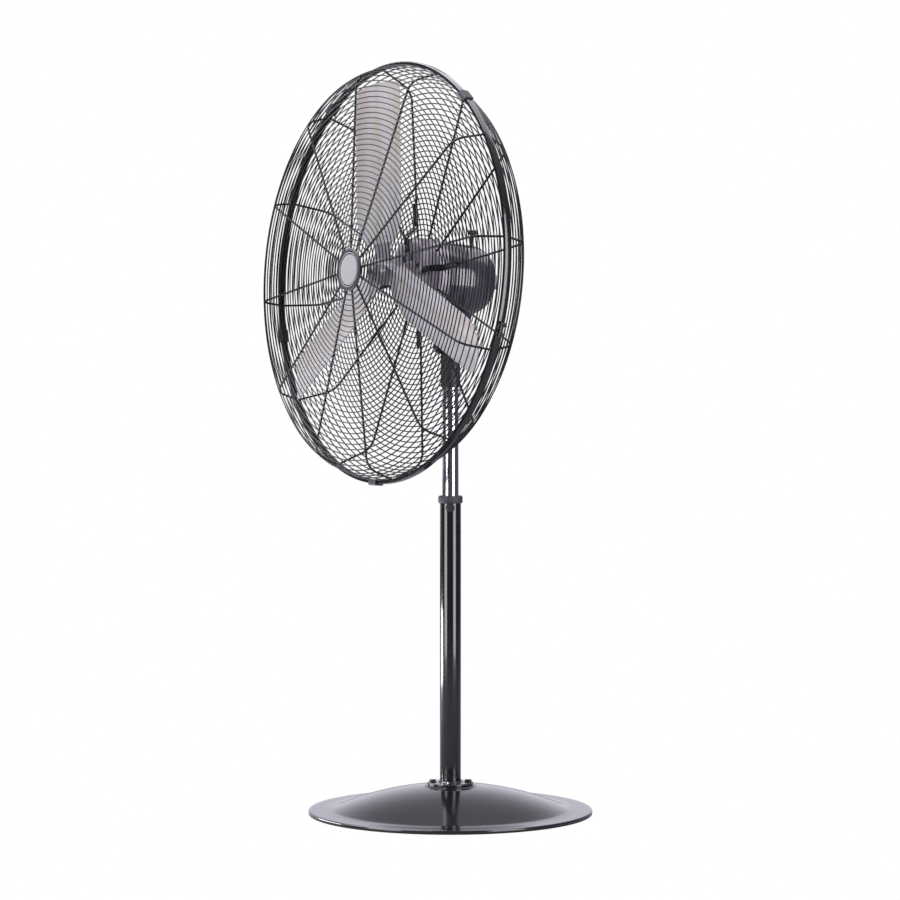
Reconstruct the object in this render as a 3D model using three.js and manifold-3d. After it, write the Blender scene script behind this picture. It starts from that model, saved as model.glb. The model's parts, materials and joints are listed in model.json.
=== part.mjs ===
// Pedestal fan: a round base, a telescopic pole, a tilting neck and an oscillating head
// with a wire guard and three blades.
// Millimetres, +Z up. The origin is on the floor under the pole's axis; the fan blows towards -Y.
import * as THREE from "three";
import { mergeVertices } from "three/addons/utils/BufferGeometryUtils.js";
import Module from "manifold-3d";

const wasm = await Module();
wasm.setup();

// ---- Driving dimensions ----
const gap = 0.3; // between touching pieces
const runningGap = 0.6; // between a piece and what turns or slides in it

// Base and pole
const baseRadius = 284;
const baseWall = 5;
const rimHeight = 8;
const rimWidth = 48; // flat brim outside the dome
const domeHeight = 57;
const domePadMargin = 6; // flat top of the dome beyond the flange
const flangeRadius = 46;
const flangeThickness = 5;
const weldHeight = 3;
const flangeBoltCount = 4;
const flangeBoltTurn = 56; // degrees from +X towards +Y
const boltShank = 4; // radius of the flange bolts and the height screw
const poleTop = 632;
const poleWall = 2.5;
const bushWall = 1.9;
const bushLength = 80;
const collarOverhang = 3.5;
const collarHeight = 15;
const collarLip = 4; // top of the collar above the pole
const screwDrop = 20; // height screw below the pole's top
const screwAzimuth = 56; // degrees from -Y towards +X

// Sliding mast and neck
const tubeRadius = 16;
const tubeWall = 2;
const tubeLength = 545;
const tiltPinHeight = 935;
const socketWall = 3.2;
const socketDepth = 50; // tube inside the socket
const socketTopWall = 15;
const tongueRadius = 16;
const tonguePlay = 0.35;
const tongueHalf = 8.7; // half the thickness of the bracket's tongue
const tiltBoltRadius = 5;
const setScrewShank = 3;
const knobGripRadius = 16;
const knobGripLength = 22;
const earHeight = 18; // ears above the tilt pin
const restTilt = 3.2; // degrees that the head leans back

// Swivel and crank, heights above the tilt pin
const plateThickness = 5;
const swivelPinRadius = 7;
const swivelBossWall = 5;
const lugArm = 24; // swivel axis to stud, and the crank's throw
const studRadius = 3;
const linkThickness = 4;
const linkHalfWidth = 4.5;
const crankThickness = 5;
const crankShaftRadius = 6;
const saddleLift = 4; // saddle above the crank
const saddleHeight = 18;

// Motor, distances forward of the swivel axis
const podRadius = 70;
const podWall = 3;
const podRear = -76.5;
const podFront = 53.2;
const bellOverhang = 6; // bell beyond the pod it closes
const bellRadius = podRadius + bellOverhang;
const bellFront = 108.5;
const bellWall = 4;
const ventCount = 8;
const ventInner = 28;
const ventOuter = 44;
const ventHalfWidth = 4;
const statorLength = 50;
const statorFront = 45;
const frontWindingLength = 15;
const rearWindingLength = 13;
const airGap = 0.6;
const rotorRadius = 35.7;
const shaftRadius = 8;
const bearingWidth = 9;
const bearingWall = 8;
const gearboxWidth = 48;
const gearboxLength = 36;
const roomAboveGearbox = 30; // to the pod's outside
const roomBelowGearbox = 26;
const gearboxTop = podRadius - roomAboveGearbox; // above the fan axis
const gearboxBottom = podRadius - roomBelowGearbox; // below the fan axis
const crankShaftTop = 30; // below the fan axis
const stemBottom = 24; // above the fan axis
const capacitorRadius = 11;
const capacitorLength = 32;
const crankOffset = 39.5; // crank and knob behind the swivel axis
const stemRadius = 4;
const knobRadius = 9.5;
const knobHeight = 10;
const knobLift = 21; // knob above the motor pod
const knobTravel = 10;

const switchRadius = 24;
const switchMargin = 1;
const podRearRound = podRadius - switchRadius - switchMargin; // leaves a flat for the switch
const switchDepth = 8;
const speedKnobRadius = 15;
const dialDepth = 6;
const gripWidth = 7;
const gripDepth = 11;
const glandRadius = 9;
const cordHoleRadius = 3.5;
const glandAngle = 225; // degrees from +X towards +Z
const glandForward = -30;

// Guard
const guardRadius = 415;
const bandForward = 156;
const bandWidth = 13;
const bandThickness = 2.8;
const spokeCount = 12;
const spokeTurn = 8; // degrees from +X to the first spoke
const spokeSize = 5;
const ringSize = 3.6;
const frontInset = 27; // corner of the front dish inside the band
const rearInset = 42;
const frontDepth = 60;
const rearDepth = 69;
const hubDepth = 84; // front hub ring ahead of the band
const rearHubDepth = 74;
const cornerBlend = 20;
const frontHubRadius = 38;
const rearHubClearance = 4;
const frontRingCount = 3;
const rearRingCount = 3;
const armReach = 145; // outer end of the mounting arms
const armWidth = 13;
const armThickness = 3;
const armBoltInset = 22; // from the bell's edge
const armBoltRadius = bellRadius - armBoltInset;
const armBoltShank = 2.5;
const clipAngles = [53, 125, 197, 269];
const clipLength = 25;
const closureAngle = -16;
const closureHeight = 14;
const badgeRadius = 42.5;
const badgeDiscRadius = 30;

// Blades
const bladeCount = 3;
const firstBladeAngle = 96;
const bladeForward = 175;
const tipClearance = 34; // blade tip inside the band
const bladeRoot = 58;
const bladeChord = 112;
const bladePitch = 18;
const bladeCamber = 8;
const bladeThickness = 2;
const spiderReach = 112;
const spiderArmWidth = 38;
const spiderArmThickness = 4;
const bossAhead = 14; // boss ahead of the blades' middle
const bossBehind = 28;
const spiderBossRadius = 24;

// ---- Sizes that follow ----
const radians = THREE.MathUtils.degToRad;
const bushOuter = tubeRadius + gap + bushWall;
const poleInner = bushOuter + gap;
const poleRadius = poleInner + poleWall;
const weldWidth = 1.5 * poleWall;
const socketRadius = tubeRadius + gap + socketWall;
const slotHalf = tongueHalf + tonguePlay;
const earReach = Math.hypot(earHeight, socketRadius);
const plateBottom = Math.ceil(earReach);
const plateTop = plateBottom + plateThickness;
const linkBottom = plateTop + 0.4;
const crankBottom = linkBottom + linkThickness + 0.4;
const crankTop = crankBottom + crankThickness;
const saddleBottom = crankTop + saddleLift;
const swivelBossRadius = swivelPinRadius + gap + swivelBossWall;
const axisRise = saddleBottom + saddleHeight + podRadius; // fan axis above the tilt pin
const socketTop = tiltPinHeight + earHeight;
const slotFloor = tiltPinHeight - tongueRadius - 1.5;
const tubeTop = slotFloor - socketTopWall - gap;
const socketBottom = tubeTop - socketDepth;
const statorInner = rotorRadius + airGap;
const statorOuter = podRadius - podWall - 5;
const statorRear = statorFront - statorLength;
const bearingOuter = shaftRadius + gap + bearingWall;
const bandInner = guardRadius - bandThickness;
const rimRadius = bandInner - gap - spokeSize / 2;
const rimOffset = spokeSize / 2 + 0.7;
const rearHubRadius = bellRadius + rearHubClearance;
const tipRadius = guardRadius - tipClearance;

// ---- Finishes ----
const finishes = {
  blackEnamel: { color: 0x1a191c, roughness: 0.3, metalness: 0.1 },
  blackWire: { color: 0x1c1c1e, roughness: 0.4, metalness: 0.1 },
  chromePlate: { color: 0xc8c8cc, roughness: 0.12, metalness: 1 },
  zincSteel: { color: 0x9a9a9e, roughness: 0.35, metalness: 1 },
  bareSteel: { color: 0x808084, roughness: 0.4, metalness: 1 },
  castGrey: { color: 0x77727a, roughness: 0.5, metalness: 0.3 },
  motorEnamel: { color: 0x30323c, roughness: 0.25, metalness: 0.2 },
  blackPlastic: { color: 0x2a2a2d, roughness: 0.5, metalness: 0 },
  collarPlastic: { color: 0x3a383d, roughness: 0.6, metalness: 0 },
  greyPlastic: { color: 0xb5b5b5, roughness: 0.4, metalness: 0 },
  brushedAluminium: { color: 0xb9b6b2, roughness: 0.35, metalness: 1 },
  laminatedSteel: { color: 0x55565a, roughness: 0.6, metalness: 0.8 },
  enamelledCopper: { color: 0x8a4a24, roughness: 0.4, metalness: 0.7 },
};

// ---- Solids ----
// A manifold solid made from a closed geometry.
function solid(geometry) {
  const bare = new THREE.BufferGeometry();
  bare.setAttribute("position", geometry.getAttribute("position").clone());
  bare.setIndex(geometry.index);
  const merged = mergeVertices(bare, 1e-4);
  return new wasm.Manifold(
    new wasm.Mesh({
      numProp: 3,
      vertProperties: new Float32Array(merged.attributes.position.array),
      triVerts: new Uint32Array(merged.index.array),
    }),
  );
}

// A flat-shaded geometry made from a manifold solid.
function geometryOf(body) {
  const mesh = body.getMesh();
  const geometry = new THREE.BufferGeometry();
  geometry.setAttribute("position", new THREE.BufferAttribute(mesh.vertProperties.slice(), 3));
  geometry.setIndex(new THREE.BufferAttribute(mesh.triVerts.slice(), 1));
  const flat = geometry.toNonIndexed();
  flat.computeVertexNormals();
  return flat;
}

const joined = (...geometries) => geometries.map(solid).reduce((a, b) => a.add(b));
const less = (body, ...tools) => tools.map(solid).reduce((a, b) => a.subtract(b), body);
const cut = (geometry, ...tools) => geometryOf(less(solid(geometry), ...tools));

// A shape spun about +Z from [radius, height] corners, listed anticlockwise.
function turned(corners, segments = 24, turn = 0) {
  const points = corners.map(([radius, height]) => new THREE.Vector2(radius, height));
  const onAxis = corners[0][0] === 0 && corners.at(-1)[0] === 0;
  if (!onAxis) points.push(points[0].clone());
  return new THREE.LatheGeometry(points, segments, radians(turn)).rotateX(Math.PI / 2);
}

// A ring, sleeve or washer about +Z between two radii and two heights.
function sleeve(inner, outer, low, high, segments = 24, turn = 0) {
  const corners = [[inner, low], [outer, low], [outer, high], [inner, high]];
  return turned(corners, segments, turn);
}

// A rod about +Z between two heights; six segments make a hexagon.
function rod(radius, low, high, segments = 24) {
  return turned([[0, low], [radius, low], [radius, high], [0, high]], segments);
}

function block(low, high) {
  const size = high.map((value, i) => value - low[i]);
  const middle = high.map((value, i) => (value + low[i]) / 2);
  return new THREE.BoxGeometry(...size).translate(...middle);
}

// A flat plate of an outline in X and Y, between two heights.
function plate(outline, low, high) {
  const shape = new THREE.Shape(outline.map(([x, y]) => new THREE.Vector2(x, y)));
  const depth = high - low;
  return new THREE.ExtrudeGeometry(shape, { depth, bevelEnabled: false }).translate(0, 0, low);
}

// A bar with round ends between two points in X and Y, as an outline.
function barOutline([x0, y0], [x1, y1], endRadius, steps = 8) {
  const along = Math.atan2(y1 - y0, x1 - x0);
  const arc = (x, y, start) =>
    Array.from({ length: steps + 1 }, (_, i) => start + (Math.PI * i) / steps).map((angle) => [
      x + endRadius * Math.cos(angle),
      y + endRadius * Math.sin(angle),
    ]);
  return [...arc(x1, y1, along - Math.PI / 2), ...arc(x0, y0, along + Math.PI / 2)];
}

// A hexagon-headed bolt along +Z: the head stands on height zero and the shank hangs below.
function hexBolt(headRadius, headHeight, shankRadius, shankLength) {
  return geometryOf(
    joined(rod(headRadius, 0, headHeight, 6), rod(shankRadius, -shankLength, headHeight / 2, 12)),
  );
}

// A hexagonal nut about +Z between two heights.
function hexNut(bore, radius, low, high) {
  return cut(rod(radius, low, high, 6), rod(bore, low - 1, high + 1, 12));
}

// A strip of even thickness along [x, y] points, extruded by its width about the XY plane.
function strip(points, thickness, width) {
  const sides = points.map((point, i) => {
    const before = points[Math.max(i - 1, 0)];
    const after = points[Math.min(i + 1, points.length - 1)];
    const length = Math.hypot(after[0] - before[0], after[1] - before[1]);
    const normal = [-(after[1] - before[1]) / length, (after[0] - before[0]) / length];
    return [-1, 1].map((side) => point.map((value, k) => value + (side * normal[k] * thickness) / 2));
  });
  const outline = [...sides.map((pair) => pair[0]), ...sides.map((pair) => pair[1]).reverse()];
  return plate(outline, -width / 2, width / 2);
}

const root = new THREE.Group();
const stand = new THREE.Group();
const mast = new THREE.Group();
const neck = new THREE.Group(); // origin on the tilt pin, +Z along the swivel axis
const fan = new THREE.Group(); // origin on the fan axis over the pin, +Z forward, +Y up
root.add(stand, mast, neck);
neck.position.z = tiltPinHeight;
neck.rotation.x = -radians(restTilt);
neck.add(fan);
fan.position.z = axisRise;
fan.rotation.x = Math.PI / 2;

// Adds a named piece to a group, turned about the group's +Z if asked.
function addPiece(group, name, geometry, finish, turn = 0) {
  const mesh = new THREE.Mesh(geometry, new THREE.MeshStandardMaterial(finishes[finish]));
  mesh.name = name;
  mesh.rotation.z = radians(turn);
  group.add(mesh);
  return mesh;
}

// ---- Base and pole ----
// The base is a pressed dome with a flat brim, open underneath.
function baseProfile(inset, steps) {
  const domeFoot = baseRadius - rimWidth;
  const padRadius = flangeRadius + domePadMargin;
  const drop = domeHeight - rimHeight;
  const arcRadius = (domeFoot ** 2 + drop ** 2) / (2 * drop);
  const points = [[baseRadius - inset, rimHeight - inset]];
  for (let i = 0; i <= steps; i++) {
    const radius = domeFoot + (padRadius - domeFoot) * (i / steps);
    const height = domeHeight - arcRadius + Math.sqrt(arcRadius ** 2 - radius ** 2);
    points.push([radius, height - inset]);
  }
  points.push([padRadius - 4, domeHeight - inset]);
  return points;
}

function addBase() {
  const corners = [
    [0, domeHeight - baseWall],
    ...baseProfile(baseWall, 3).reverse(),
    [baseRadius - baseWall, 0],
    [baseRadius, 0],
    ...baseProfile(0, 5),
    [0, domeHeight],
  ];
  const drill = rod(boltShank + gap, domeHeight - 3 * baseWall, domeHeight + 1, 12);
  const holes = flangeBoltPlaces().map(([x, y]) => drill.clone().translate(x, y, 0));
  addPiece(stand, "base_plate", cut(turned(corners, 48), ...holes), "blackEnamel");
}

function flangeBoltPlaces() {
  const circle = (poleRadius + weldWidth + flangeRadius) / 2;
  return Array.from({ length: flangeBoltCount }, (_, i) => {
    const angle = radians(flangeBoltTurn) + (2 * Math.PI * i) / flangeBoltCount;
    return [circle * Math.cos(angle), circle * Math.sin(angle)];
  });
}

function addFlange() {
  const low = domeHeight + gap;
  const high = low + flangeThickness;
  const bore = poleRadius + gap;
  const weldRadius = bore + weldWidth;
  const profile = [
    [bore, low],
    [flangeRadius, low],
    [flangeRadius, high - 1],
    [flangeRadius - 1, high],
    [weldRadius, high],
    [bore + 0.5, high + weldHeight],
    [bore, high + weldHeight],
  ];
  const drill = rod(boltShank + gap, low - 1, high + 1, 12);
  const holes = flangeBoltPlaces().map(([x, y]) => drill.clone().translate(x, y, 0));
  addPiece(stand, "pole_flange", cut(turned(profile), ...holes), "blackEnamel");
  const shankLength = flangeThickness + baseWall + 8;
  flangeBoltPlaces().forEach(([x, y], i) => {
    const bolt = hexBolt(1.7 * boltShank, 4.5, boltShank, shankLength);
    const mesh = addPiece(stand, `flange_bolt_${i + 1}`, bolt, "zincSteel", 20 * i);
    mesh.position.set(x, y, high + gap);
  });
}

function addPole() {
  const low = domeHeight + 2 * gap + 1;
  const screwHole = rod(boltShank + gap, 0, 2 * poleRadius, 12)
    .rotateX(Math.PI / 2)
    .rotateZ(radians(screwAzimuth))
    .translate(0, 0, poleTop - screwDrop);
  const tube = cut(sleeve(poleInner, poleRadius, low, poleTop), screwHole);
  addPiece(stand, "outer_pole", tube, "blackEnamel");
  const collarRadius = poleRadius + collarOverhang;
  const collarTop = poleTop + collarLip;
  const collar = [
    [poleRadius + gap, collarTop - collarHeight],
    [collarRadius, collarTop - collarHeight],
    [collarRadius, collarTop - 1.5],
    [collarRadius - 1.5, collarTop],
    [tubeRadius + runningGap, collarTop],
    [tubeRadius + runningGap, poleTop + gap],
    [poleRadius + gap, poleTop + gap],
  ];
  addPiece(stand, "pole_collar", turned(collar), "collarPlastic");
  const bushTop = poleTop - screwDrop - 2 * boltShank;
  const bush = sleeve(tubeRadius + gap, bushOuter, bushTop - bushLength, bushTop);
  addPiece(stand, "pole_bush", bush, "blackPlastic");
}

function addHeightScrew() {
  const headSeat = poleRadius + collarOverhang / 2;
  const shankLength = headSeat - tubeRadius - gap;
  const screw = hexBolt(2 * boltShank, 5.5, boltShank, shankLength);
  screw
    .translate(0, 0, headSeat)
    .rotateX(Math.PI / 2)
    .rotateZ(radians(screwAzimuth))
    .translate(0, 0, poleTop - screwDrop);
  addPiece(stand, "height_screw", screw, "zincSteel");
}

// ---- Sliding mast ----
function addMast() {
  const tubeBottom = tubeTop - tubeLength;
  const bore = tubeRadius - tubeWall;
  addPiece(mast, "inner_tube", sleeve(bore, tubeRadius, tubeBottom, tubeTop), "chromePlate");
  const footTop = tubeBottom - gap;
  const foot = [
    [0, footTop - 6],
    [bushOuter - gap, footTop - 6],
    [bushOuter - gap, footTop],
    [bore - gap, footTop],
    [bore - gap, footTop + 25],
    [0, footTop + 25],
  ];
  addPiece(mast, "tube_foot", turned(foot), "blackPlastic");
  addSocket();
  addTiltBolt();
}

// The socket caps the tube and carries two ears for the tilt bolt.
function addSocket() {
  const boreTop = tubeTop + gap;
  const profile = [
    [0, boreTop],
    [tubeRadius + gap, boreTop],
    [tubeRadius + gap, socketBottom],
    [socketRadius, socketBottom],
    [socketRadius, socketTop],
    [0, socketTop],
  ];
  const wide = 2 * socketRadius;
  const slot = block([-slotHalf, -wide, slotFloor], [slotHalf, wide, socketTop + 1]);
  const pinHole = rod(tiltBoltRadius + gap, -wide, wide, 16).rotateY(Math.PI / 2);
  const setHole = rod(setScrewShank + gap, 0, wide, 12).rotateX(-Math.PI / 2);
  pinHole.translate(0, 0, tiltPinHeight);
  setHole.translate(0, 0, socketBottom + socketDepth / 2);
  addPiece(mast, "neck_socket", cut(turned(profile), slot, pinHole, setHole), "blackPlastic");
  const seat = socketRadius + gap;
  const screw = hexBolt(2 * setScrewShank, 4, setScrewShank, seat - tubeRadius - gap);
  screw.translate(0, 0, seat).rotateX(-Math.PI / 2).translate(0, 0, socketBottom + socketDepth / 2);
  addPiece(mast, "socket_screw", screw, "zincSteel");
}

// The bolt runs along +X through both ears; the hand knob is its nut, on the -X side.
function addTiltBolt() {
  const seat = socketRadius + gap;
  const thread = seat + knobGripLength * 0.8;
  const bolt = hexBolt(1.7 * tiltBoltRadius, 6, tiltBoltRadius, seat + thread);
  bolt.translate(0, 0, seat).rotateY(Math.PI / 2).translate(0, 0, tiltPinHeight);
  addPiece(mast, "tilt_bolt", bolt, "zincSteel");
  const bore = tiltBoltRadius + gap;
  const grip = [
    [bore, seat],
    [knobGripRadius * 0.6, seat],
    [knobGripRadius * 0.6, seat + 6],
    [knobGripRadius, seat + 8],
    [knobGripRadius, seat + knobGripLength - 2],
    [knobGripRadius - 2, seat + knobGripLength],
    [bore, seat + knobGripLength],
  ];
  const flute = rod(4, seat + 7, seat + knobGripLength + 1, 10);
  const flutes = Array.from({ length: 6 }, (_, i) =>
    flute
      .clone()
      .translate(knobGripRadius + 1.5, 0, 0)
      .rotateZ((i * Math.PI) / 3),
  );
  const knob = cut(turned(grip), ...flutes).rotateY(-Math.PI / 2);
  addPiece(mast, "tilt_knob", knob.translate(0, 0, tiltPinHeight), "blackPlastic");
}

// ---- Tilting neck: bracket, swivel pin and the link of the oscillation drive ----
function addNeck() {
  const tongueOutline = barOutline([0, 0], [0, plateBottom + 1], tongueRadius);
  const tongue = plate(tongueOutline, -tongueHalf, tongueHalf);
  // The outline's Y becomes +Z and its extrusion runs along X.
  tongue.applyMatrix4(
    new THREE.Matrix4().makeBasis(
      new THREE.Vector3(0, 1, 0),
      new THREE.Vector3(0, 0, 1),
      new THREE.Vector3(1, 0, 0),
    ),
  );
  const upperCut = block(
    [-2 * tongueHalf, -2 * tongueRadius, plateTop],
    [2 * tongueHalf, 2 * tongueRadius, plateTop + 2 * tongueRadius],
  );
  const disc = rod(socketRadius + 3, plateBottom, plateTop);
  const lug = plate(barOutline([0, 0], [lugArm, 0], 3 * studRadius), plateBottom, plateTop);
  const stud = rod(studRadius, plateBottom, linkBottom + linkThickness, 12).translate(lugArm, 0, 0);
  const pinBore = rod(swivelPinRadius + gap, plateBottom, plateTop + 1, 20);
  const boltHole = rod(tiltBoltRadius + gap, -2 * tongueHalf, 2 * tongueHalf, 16).rotateY(Math.PI / 2);
  const bracket = less(joined(tongue, disc, lug), upperCut, pinBore, boltHole).add(solid(stud));
  addPiece(neck, "tilt_bracket", geometryOf(bracket), "blackPlastic");
  const pinTop = axisRise - podRadius - 1.5;
  addPiece(neck, "swivel_pin", rod(swivelPinRadius, plateBottom + gap, pinTop, 20), "bareSteel");

  const eye = studRadius + runningGap;
  const ends = [
    [lugArm, 0],
    [lugArm, crankOffset],
  ];
  const atEnds = (geometry) => ends.map(([x, y]) => geometry.clone().translate(x, y, 0));
  const linkTop = linkBottom + linkThickness;
  const bar = plate(barOutline(...ends, linkHalfWidth), linkBottom, linkTop);
  const eyes = atEnds(rod(linkHalfWidth + 2, linkBottom, linkTop, 16));
  const bores = atEnds(rod(eye, linkBottom - 1, linkTop + 1, 12));
  const link = less(joined(bar, ...eyes), ...bores);
  addPiece(neck, "crank_link", geometryOf(link), "zincSteel");
}

// ---- Head: swivel block, gearbox and crank ----
function addSwivel() {
  const boss = sleeve(swivelPinRadius + gap, swivelBossRadius, plateTop + gap, saddleBottom + 1);
  const saddleTop = axisRise - podRadius + 5;
  const rearEdge = crankOffset - crankShaftRadius - 8;
  const saddle = block([-26, -34, saddleBottom], [26, rearEdge, saddleTop]);
  const bore = rod(swivelPinRadius + gap, saddleBottom - 1, saddleTop + 1, 20);
  const pod = rod(podRadius + gap, -60, 60, 64).rotateX(Math.PI / 2).translate(0, 0, axisRise);
  const housing = less(joined(boss, saddle), bore, pod);
  addPiece(neck, "swivel_housing", geometryOf(housing), "motorEnamel");
}

function addCrank() {
  const arm = plate(barOutline([0, 0], [lugArm, 0], linkHalfWidth + 2), crankBottom, crankTop);
  const shaft = rod(crankShaftRadius, crankBottom, axisRise - crankShaftTop, 16);
  const pin = rod(studRadius, linkBottom + gap, crankTop, 12).translate(lugArm, 0, 0);
  const crank = geometryOf(joined(arm, shaft, pin));
  addPiece(neck, "crank_arm", crank.translate(0, crankOffset, 0), "zincSteel");
}

function addGearbox() {
  const frontFace = -crankOffset + gearboxLength / 2;
  const rearFace = frontFace - gearboxLength;
  const half = gearboxWidth / 2;
  const box = block([-half, -gearboxBottom, rearFace], [half, gearboxTop, frontFace]);
  const shaftBore = rod(shaftRadius + runningGap, rearFace + 6, frontFace + 1, 20);
  const bearingSeat = rod(bearingOuter + gap, frontFace - bearingWidth, frontFace + 1);
  const upright = (radius, low, high) =>
    rod(radius, low, high, 16).rotateX(-Math.PI / 2).translate(0, 0, -crankOffset);
  const crankBore = upright(crankShaftRadius + gap, -gearboxBottom - 1, 2 - crankShaftTop);
  const stemBore = upright(stemRadius + gap, stemBottom - knobTravel - 2, gearboxTop + 1);
  addPiece(fan, "gearbox", cut(box, shaftBore, bearingSeat, crankBore, stemBore), "castGrey");
  const bearingLow = frontFace - bearingWidth + gap;
  const bearing = sleeve(shaftRadius + gap, bearingOuter, bearingLow, bearingLow + bearingWidth);
  addPiece(fan, "rear_bearing", bearing, "bareSteel");
}

function addKnob() {
  const knobBottom = podRadius + knobLift;
  const knobTop = knobBottom + knobHeight;
  const profile = [
    [0, stemBottom],
    [stemRadius, stemBottom],
    [stemRadius, knobBottom],
    [knobRadius - 2, knobBottom],
    [knobRadius, knobBottom + 3],
    [knobRadius, knobTop - 3],
    [knobRadius - 2.5, knobTop - 0.5],
    [0, knobTop],
  ];
  const knob = turned(profile).rotateX(-Math.PI / 2).translate(0, 0, -crankOffset);
  addPiece(fan, "oscillation_knob", knob, "blackPlastic");
}

// ---- Head: motor ----
function addMotorShells() {
  const round = podRearRound;
  const rearArc = (inset, count) =>
    Array.from({ length: count + 1 }, (_, i) => {
      const angle = (Math.PI / 2) * (i / count);
      return [
        podRadius - round + (round - inset) * Math.sin(angle),
        podRear + round - (round - inset) * Math.cos(angle),
      ];
    });
  const inner = rearArc(podWall, 3).reverse();
  const profile = [
    [0, podRear],
    ...rearArc(0, 4),
    [podRadius, podFront],
    [podRadius - podWall, podFront],
    ...inner,
    [0, podRear + podWall],
  ];
  const upDown = (radius, low, high) =>
    rod(radius, low, high, 16).rotateX(-Math.PI / 2).translate(0, 0, -crankOffset);
  const knobHole = upDown(stemRadius + gap, podRadius - 10, podRadius + 10);
  const crankHole = upDown(crankShaftRadius + runningGap, -podRadius - 10, -podRadius + 10);
  const glandHole = rod(glandRadius * 0.5 + gap, podRadius - 10, podRadius + 10, 12)
    .rotateX(-Math.PI / 2)
    .rotateZ(radians(glandAngle - 90))
    .translate(0, 0, glandForward);
  const shell = cut(turned(profile), knobHole, crankHole, glandHole);
  addPiece(fan, "motor_rear_cover", shell, "motorEnamel");
  addBell();
}

// The front bell butts on the rear cover, holds the front bearing and has a ring of vent slots.
function addBell() {
  const low = podFront + gap;
  const inner = bellRadius - bellWall;
  const floorTop = bellFront - bellWall;
  const seatRadius = bearingOuter + gap;
  const profile = [
    [podRadius - podWall, low],
    [bellRadius, low],
    [bellRadius, bellFront - 11],
    [bellRadius - 3, bellFront - 4],
    [bellRadius - 10, bellFront],
    [shaftRadius + runningGap, bellFront],
    [shaftRadius + runningGap, floorTop - 1],
    [seatRadius, floorTop - 1],
    [seatRadius, floorTop - bearingWidth - 2],
    [seatRadius + 5, floorTop - bearingWidth - 2],
    [seatRadius + 5, floorTop],
    [bellRadius - 12, floorTop],
    [inner, bellFront - 12],
    [inner, low + bellWall],
    [podRadius - podWall, low + bellWall],
  ];
  const vent = block([ventInner, -ventHalfWidth, floorTop - 2], [ventOuter, ventHalfWidth, bellFront + 1]);
  const tools = Array.from({ length: ventCount }, (_, i) =>
    vent.clone().rotateZ(radians(spokeTurn + (360 * (i + 0.5)) / ventCount)),
  );
  for (let i = 0; i < 4; i++) {
    const hole = rod(armBoltShank + gap, floorTop - 1, bellFront + 1, 10);
    tools.push(hole.translate(armBoltRadius, 0, 0).rotateZ(radians(spokeTurn + 90 * i)));
  }
  addPiece(fan, "motor_front_bell", cut(turned(profile), ...tools), "castGrey");
  const bearingTop = floorTop - 1 - gap;
  const bearing = sleeve(shaftRadius + gap, bearingOuter, bearingTop - bearingWidth, bearingTop);
  addPiece(fan, "front_bearing", bearing, "bareSteel");
}

function addMotorCore() {
  const windingInner = statorInner + 3;
  const windingOuter = statorOuter - 4;
  const frontLow = statorFront + gap;
  const rearHigh = statorRear - gap;
  const frontWinding = sleeve(windingInner, windingOuter, frontLow, frontLow + frontWindingLength);
  const rearWinding = sleeve(windingInner, windingOuter, rearHigh - rearWindingLength, rearHigh);
  addPiece(fan, "stator_core", sleeve(statorInner, statorOuter, statorRear, statorFront), "laminatedSteel");
  addPiece(fan, "front_winding", frontWinding, "enamelledCopper");
  addPiece(fan, "rear_winding", rearWinding, "enamelledCopper");
  const capacitor = rod(capacitorRadius, -capacitorLength / 2, capacitorLength / 2, 16);
  capacitor.translate(-gearboxWidth / 2 - capacitorRadius - 3, 0, -crankOffset);
  addPiece(fan, "capacitor", capacitor, "greyPlastic");
}

// Speed switch on the rear of the pod, and the cable gland low on its side.
function addControls() {
  const seat = podRear - gap;
  const body = [
    [0, seat - switchDepth],
    [switchRadius - 1.5, seat - switchDepth],
    [switchRadius, seat - switchDepth + 1.5],
    [switchRadius, seat],
    [0, seat],
  ];
  addPiece(fan, "speed_switch", turned(body), "blackPlastic");
  const faceRear = seat - switchDepth - gap;
  const dialRear = faceRear - dialDepth;
  const dial = rod(speedKnobRadius, dialRear, faceRear);
  const grip = block(
    [-gripWidth / 2, -speedKnobRadius + 1, dialRear - gripDepth],
    [gripWidth / 2, speedKnobRadius - 1, dialRear + 1],
  );
  addPiece(fan, "speed_knob", geometryOf(joined(dial, grip)), "blackPlastic");
  const hexagon = rod(glandRadius, 0, 5, 6);
  const barrel = rod(glandRadius * 0.85, 4, 16, 12);
  const spigot = rod(glandRadius * 0.5, -4, 1, 12);
  const gland = less(joined(hexagon, barrel, spigot), rod(cordHoleRadius, -5, 17, 12));
  const placed = geometryOf(gland)
    .translate(0, 0, podRadius + gap)
    .rotateX(-Math.PI / 2)
    .rotateZ(radians(glandAngle - 90))
    .translate(0, 0, glandForward);
  addPiece(fan, "cable_gland", placed, "blackPlastic");
}

// ---- Guard ----
// Half of the dish as [radius, distance from the band], from the rim to the hub ring.
function dishPath(inset, depth, hubRadius, hubDistance) {
  const rim = [rimRadius, rimOffset];
  const corner = [guardRadius - inset, depth];
  const hub = [hubRadius, hubDistance];
  const towards = (from, to) => {
    const length = Math.hypot(to[0] - from[0], to[1] - from[1]);
    return from.map((value, k) => value + (cornerBlend * (to[k] - value)) / length);
  };
  const before = towards(corner, rim);
  const after = towards(corner, hub);
  const middle = corner.map((value, k) => value / 2 + (before[k] + after[k]) / 4);
  return [rim, before, middle, after, hub];
}

function rearDish() {
  return dishPath(rearInset, rearDepth, rearHubRadius - ringSize, rearHubDepth);
}

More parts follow.
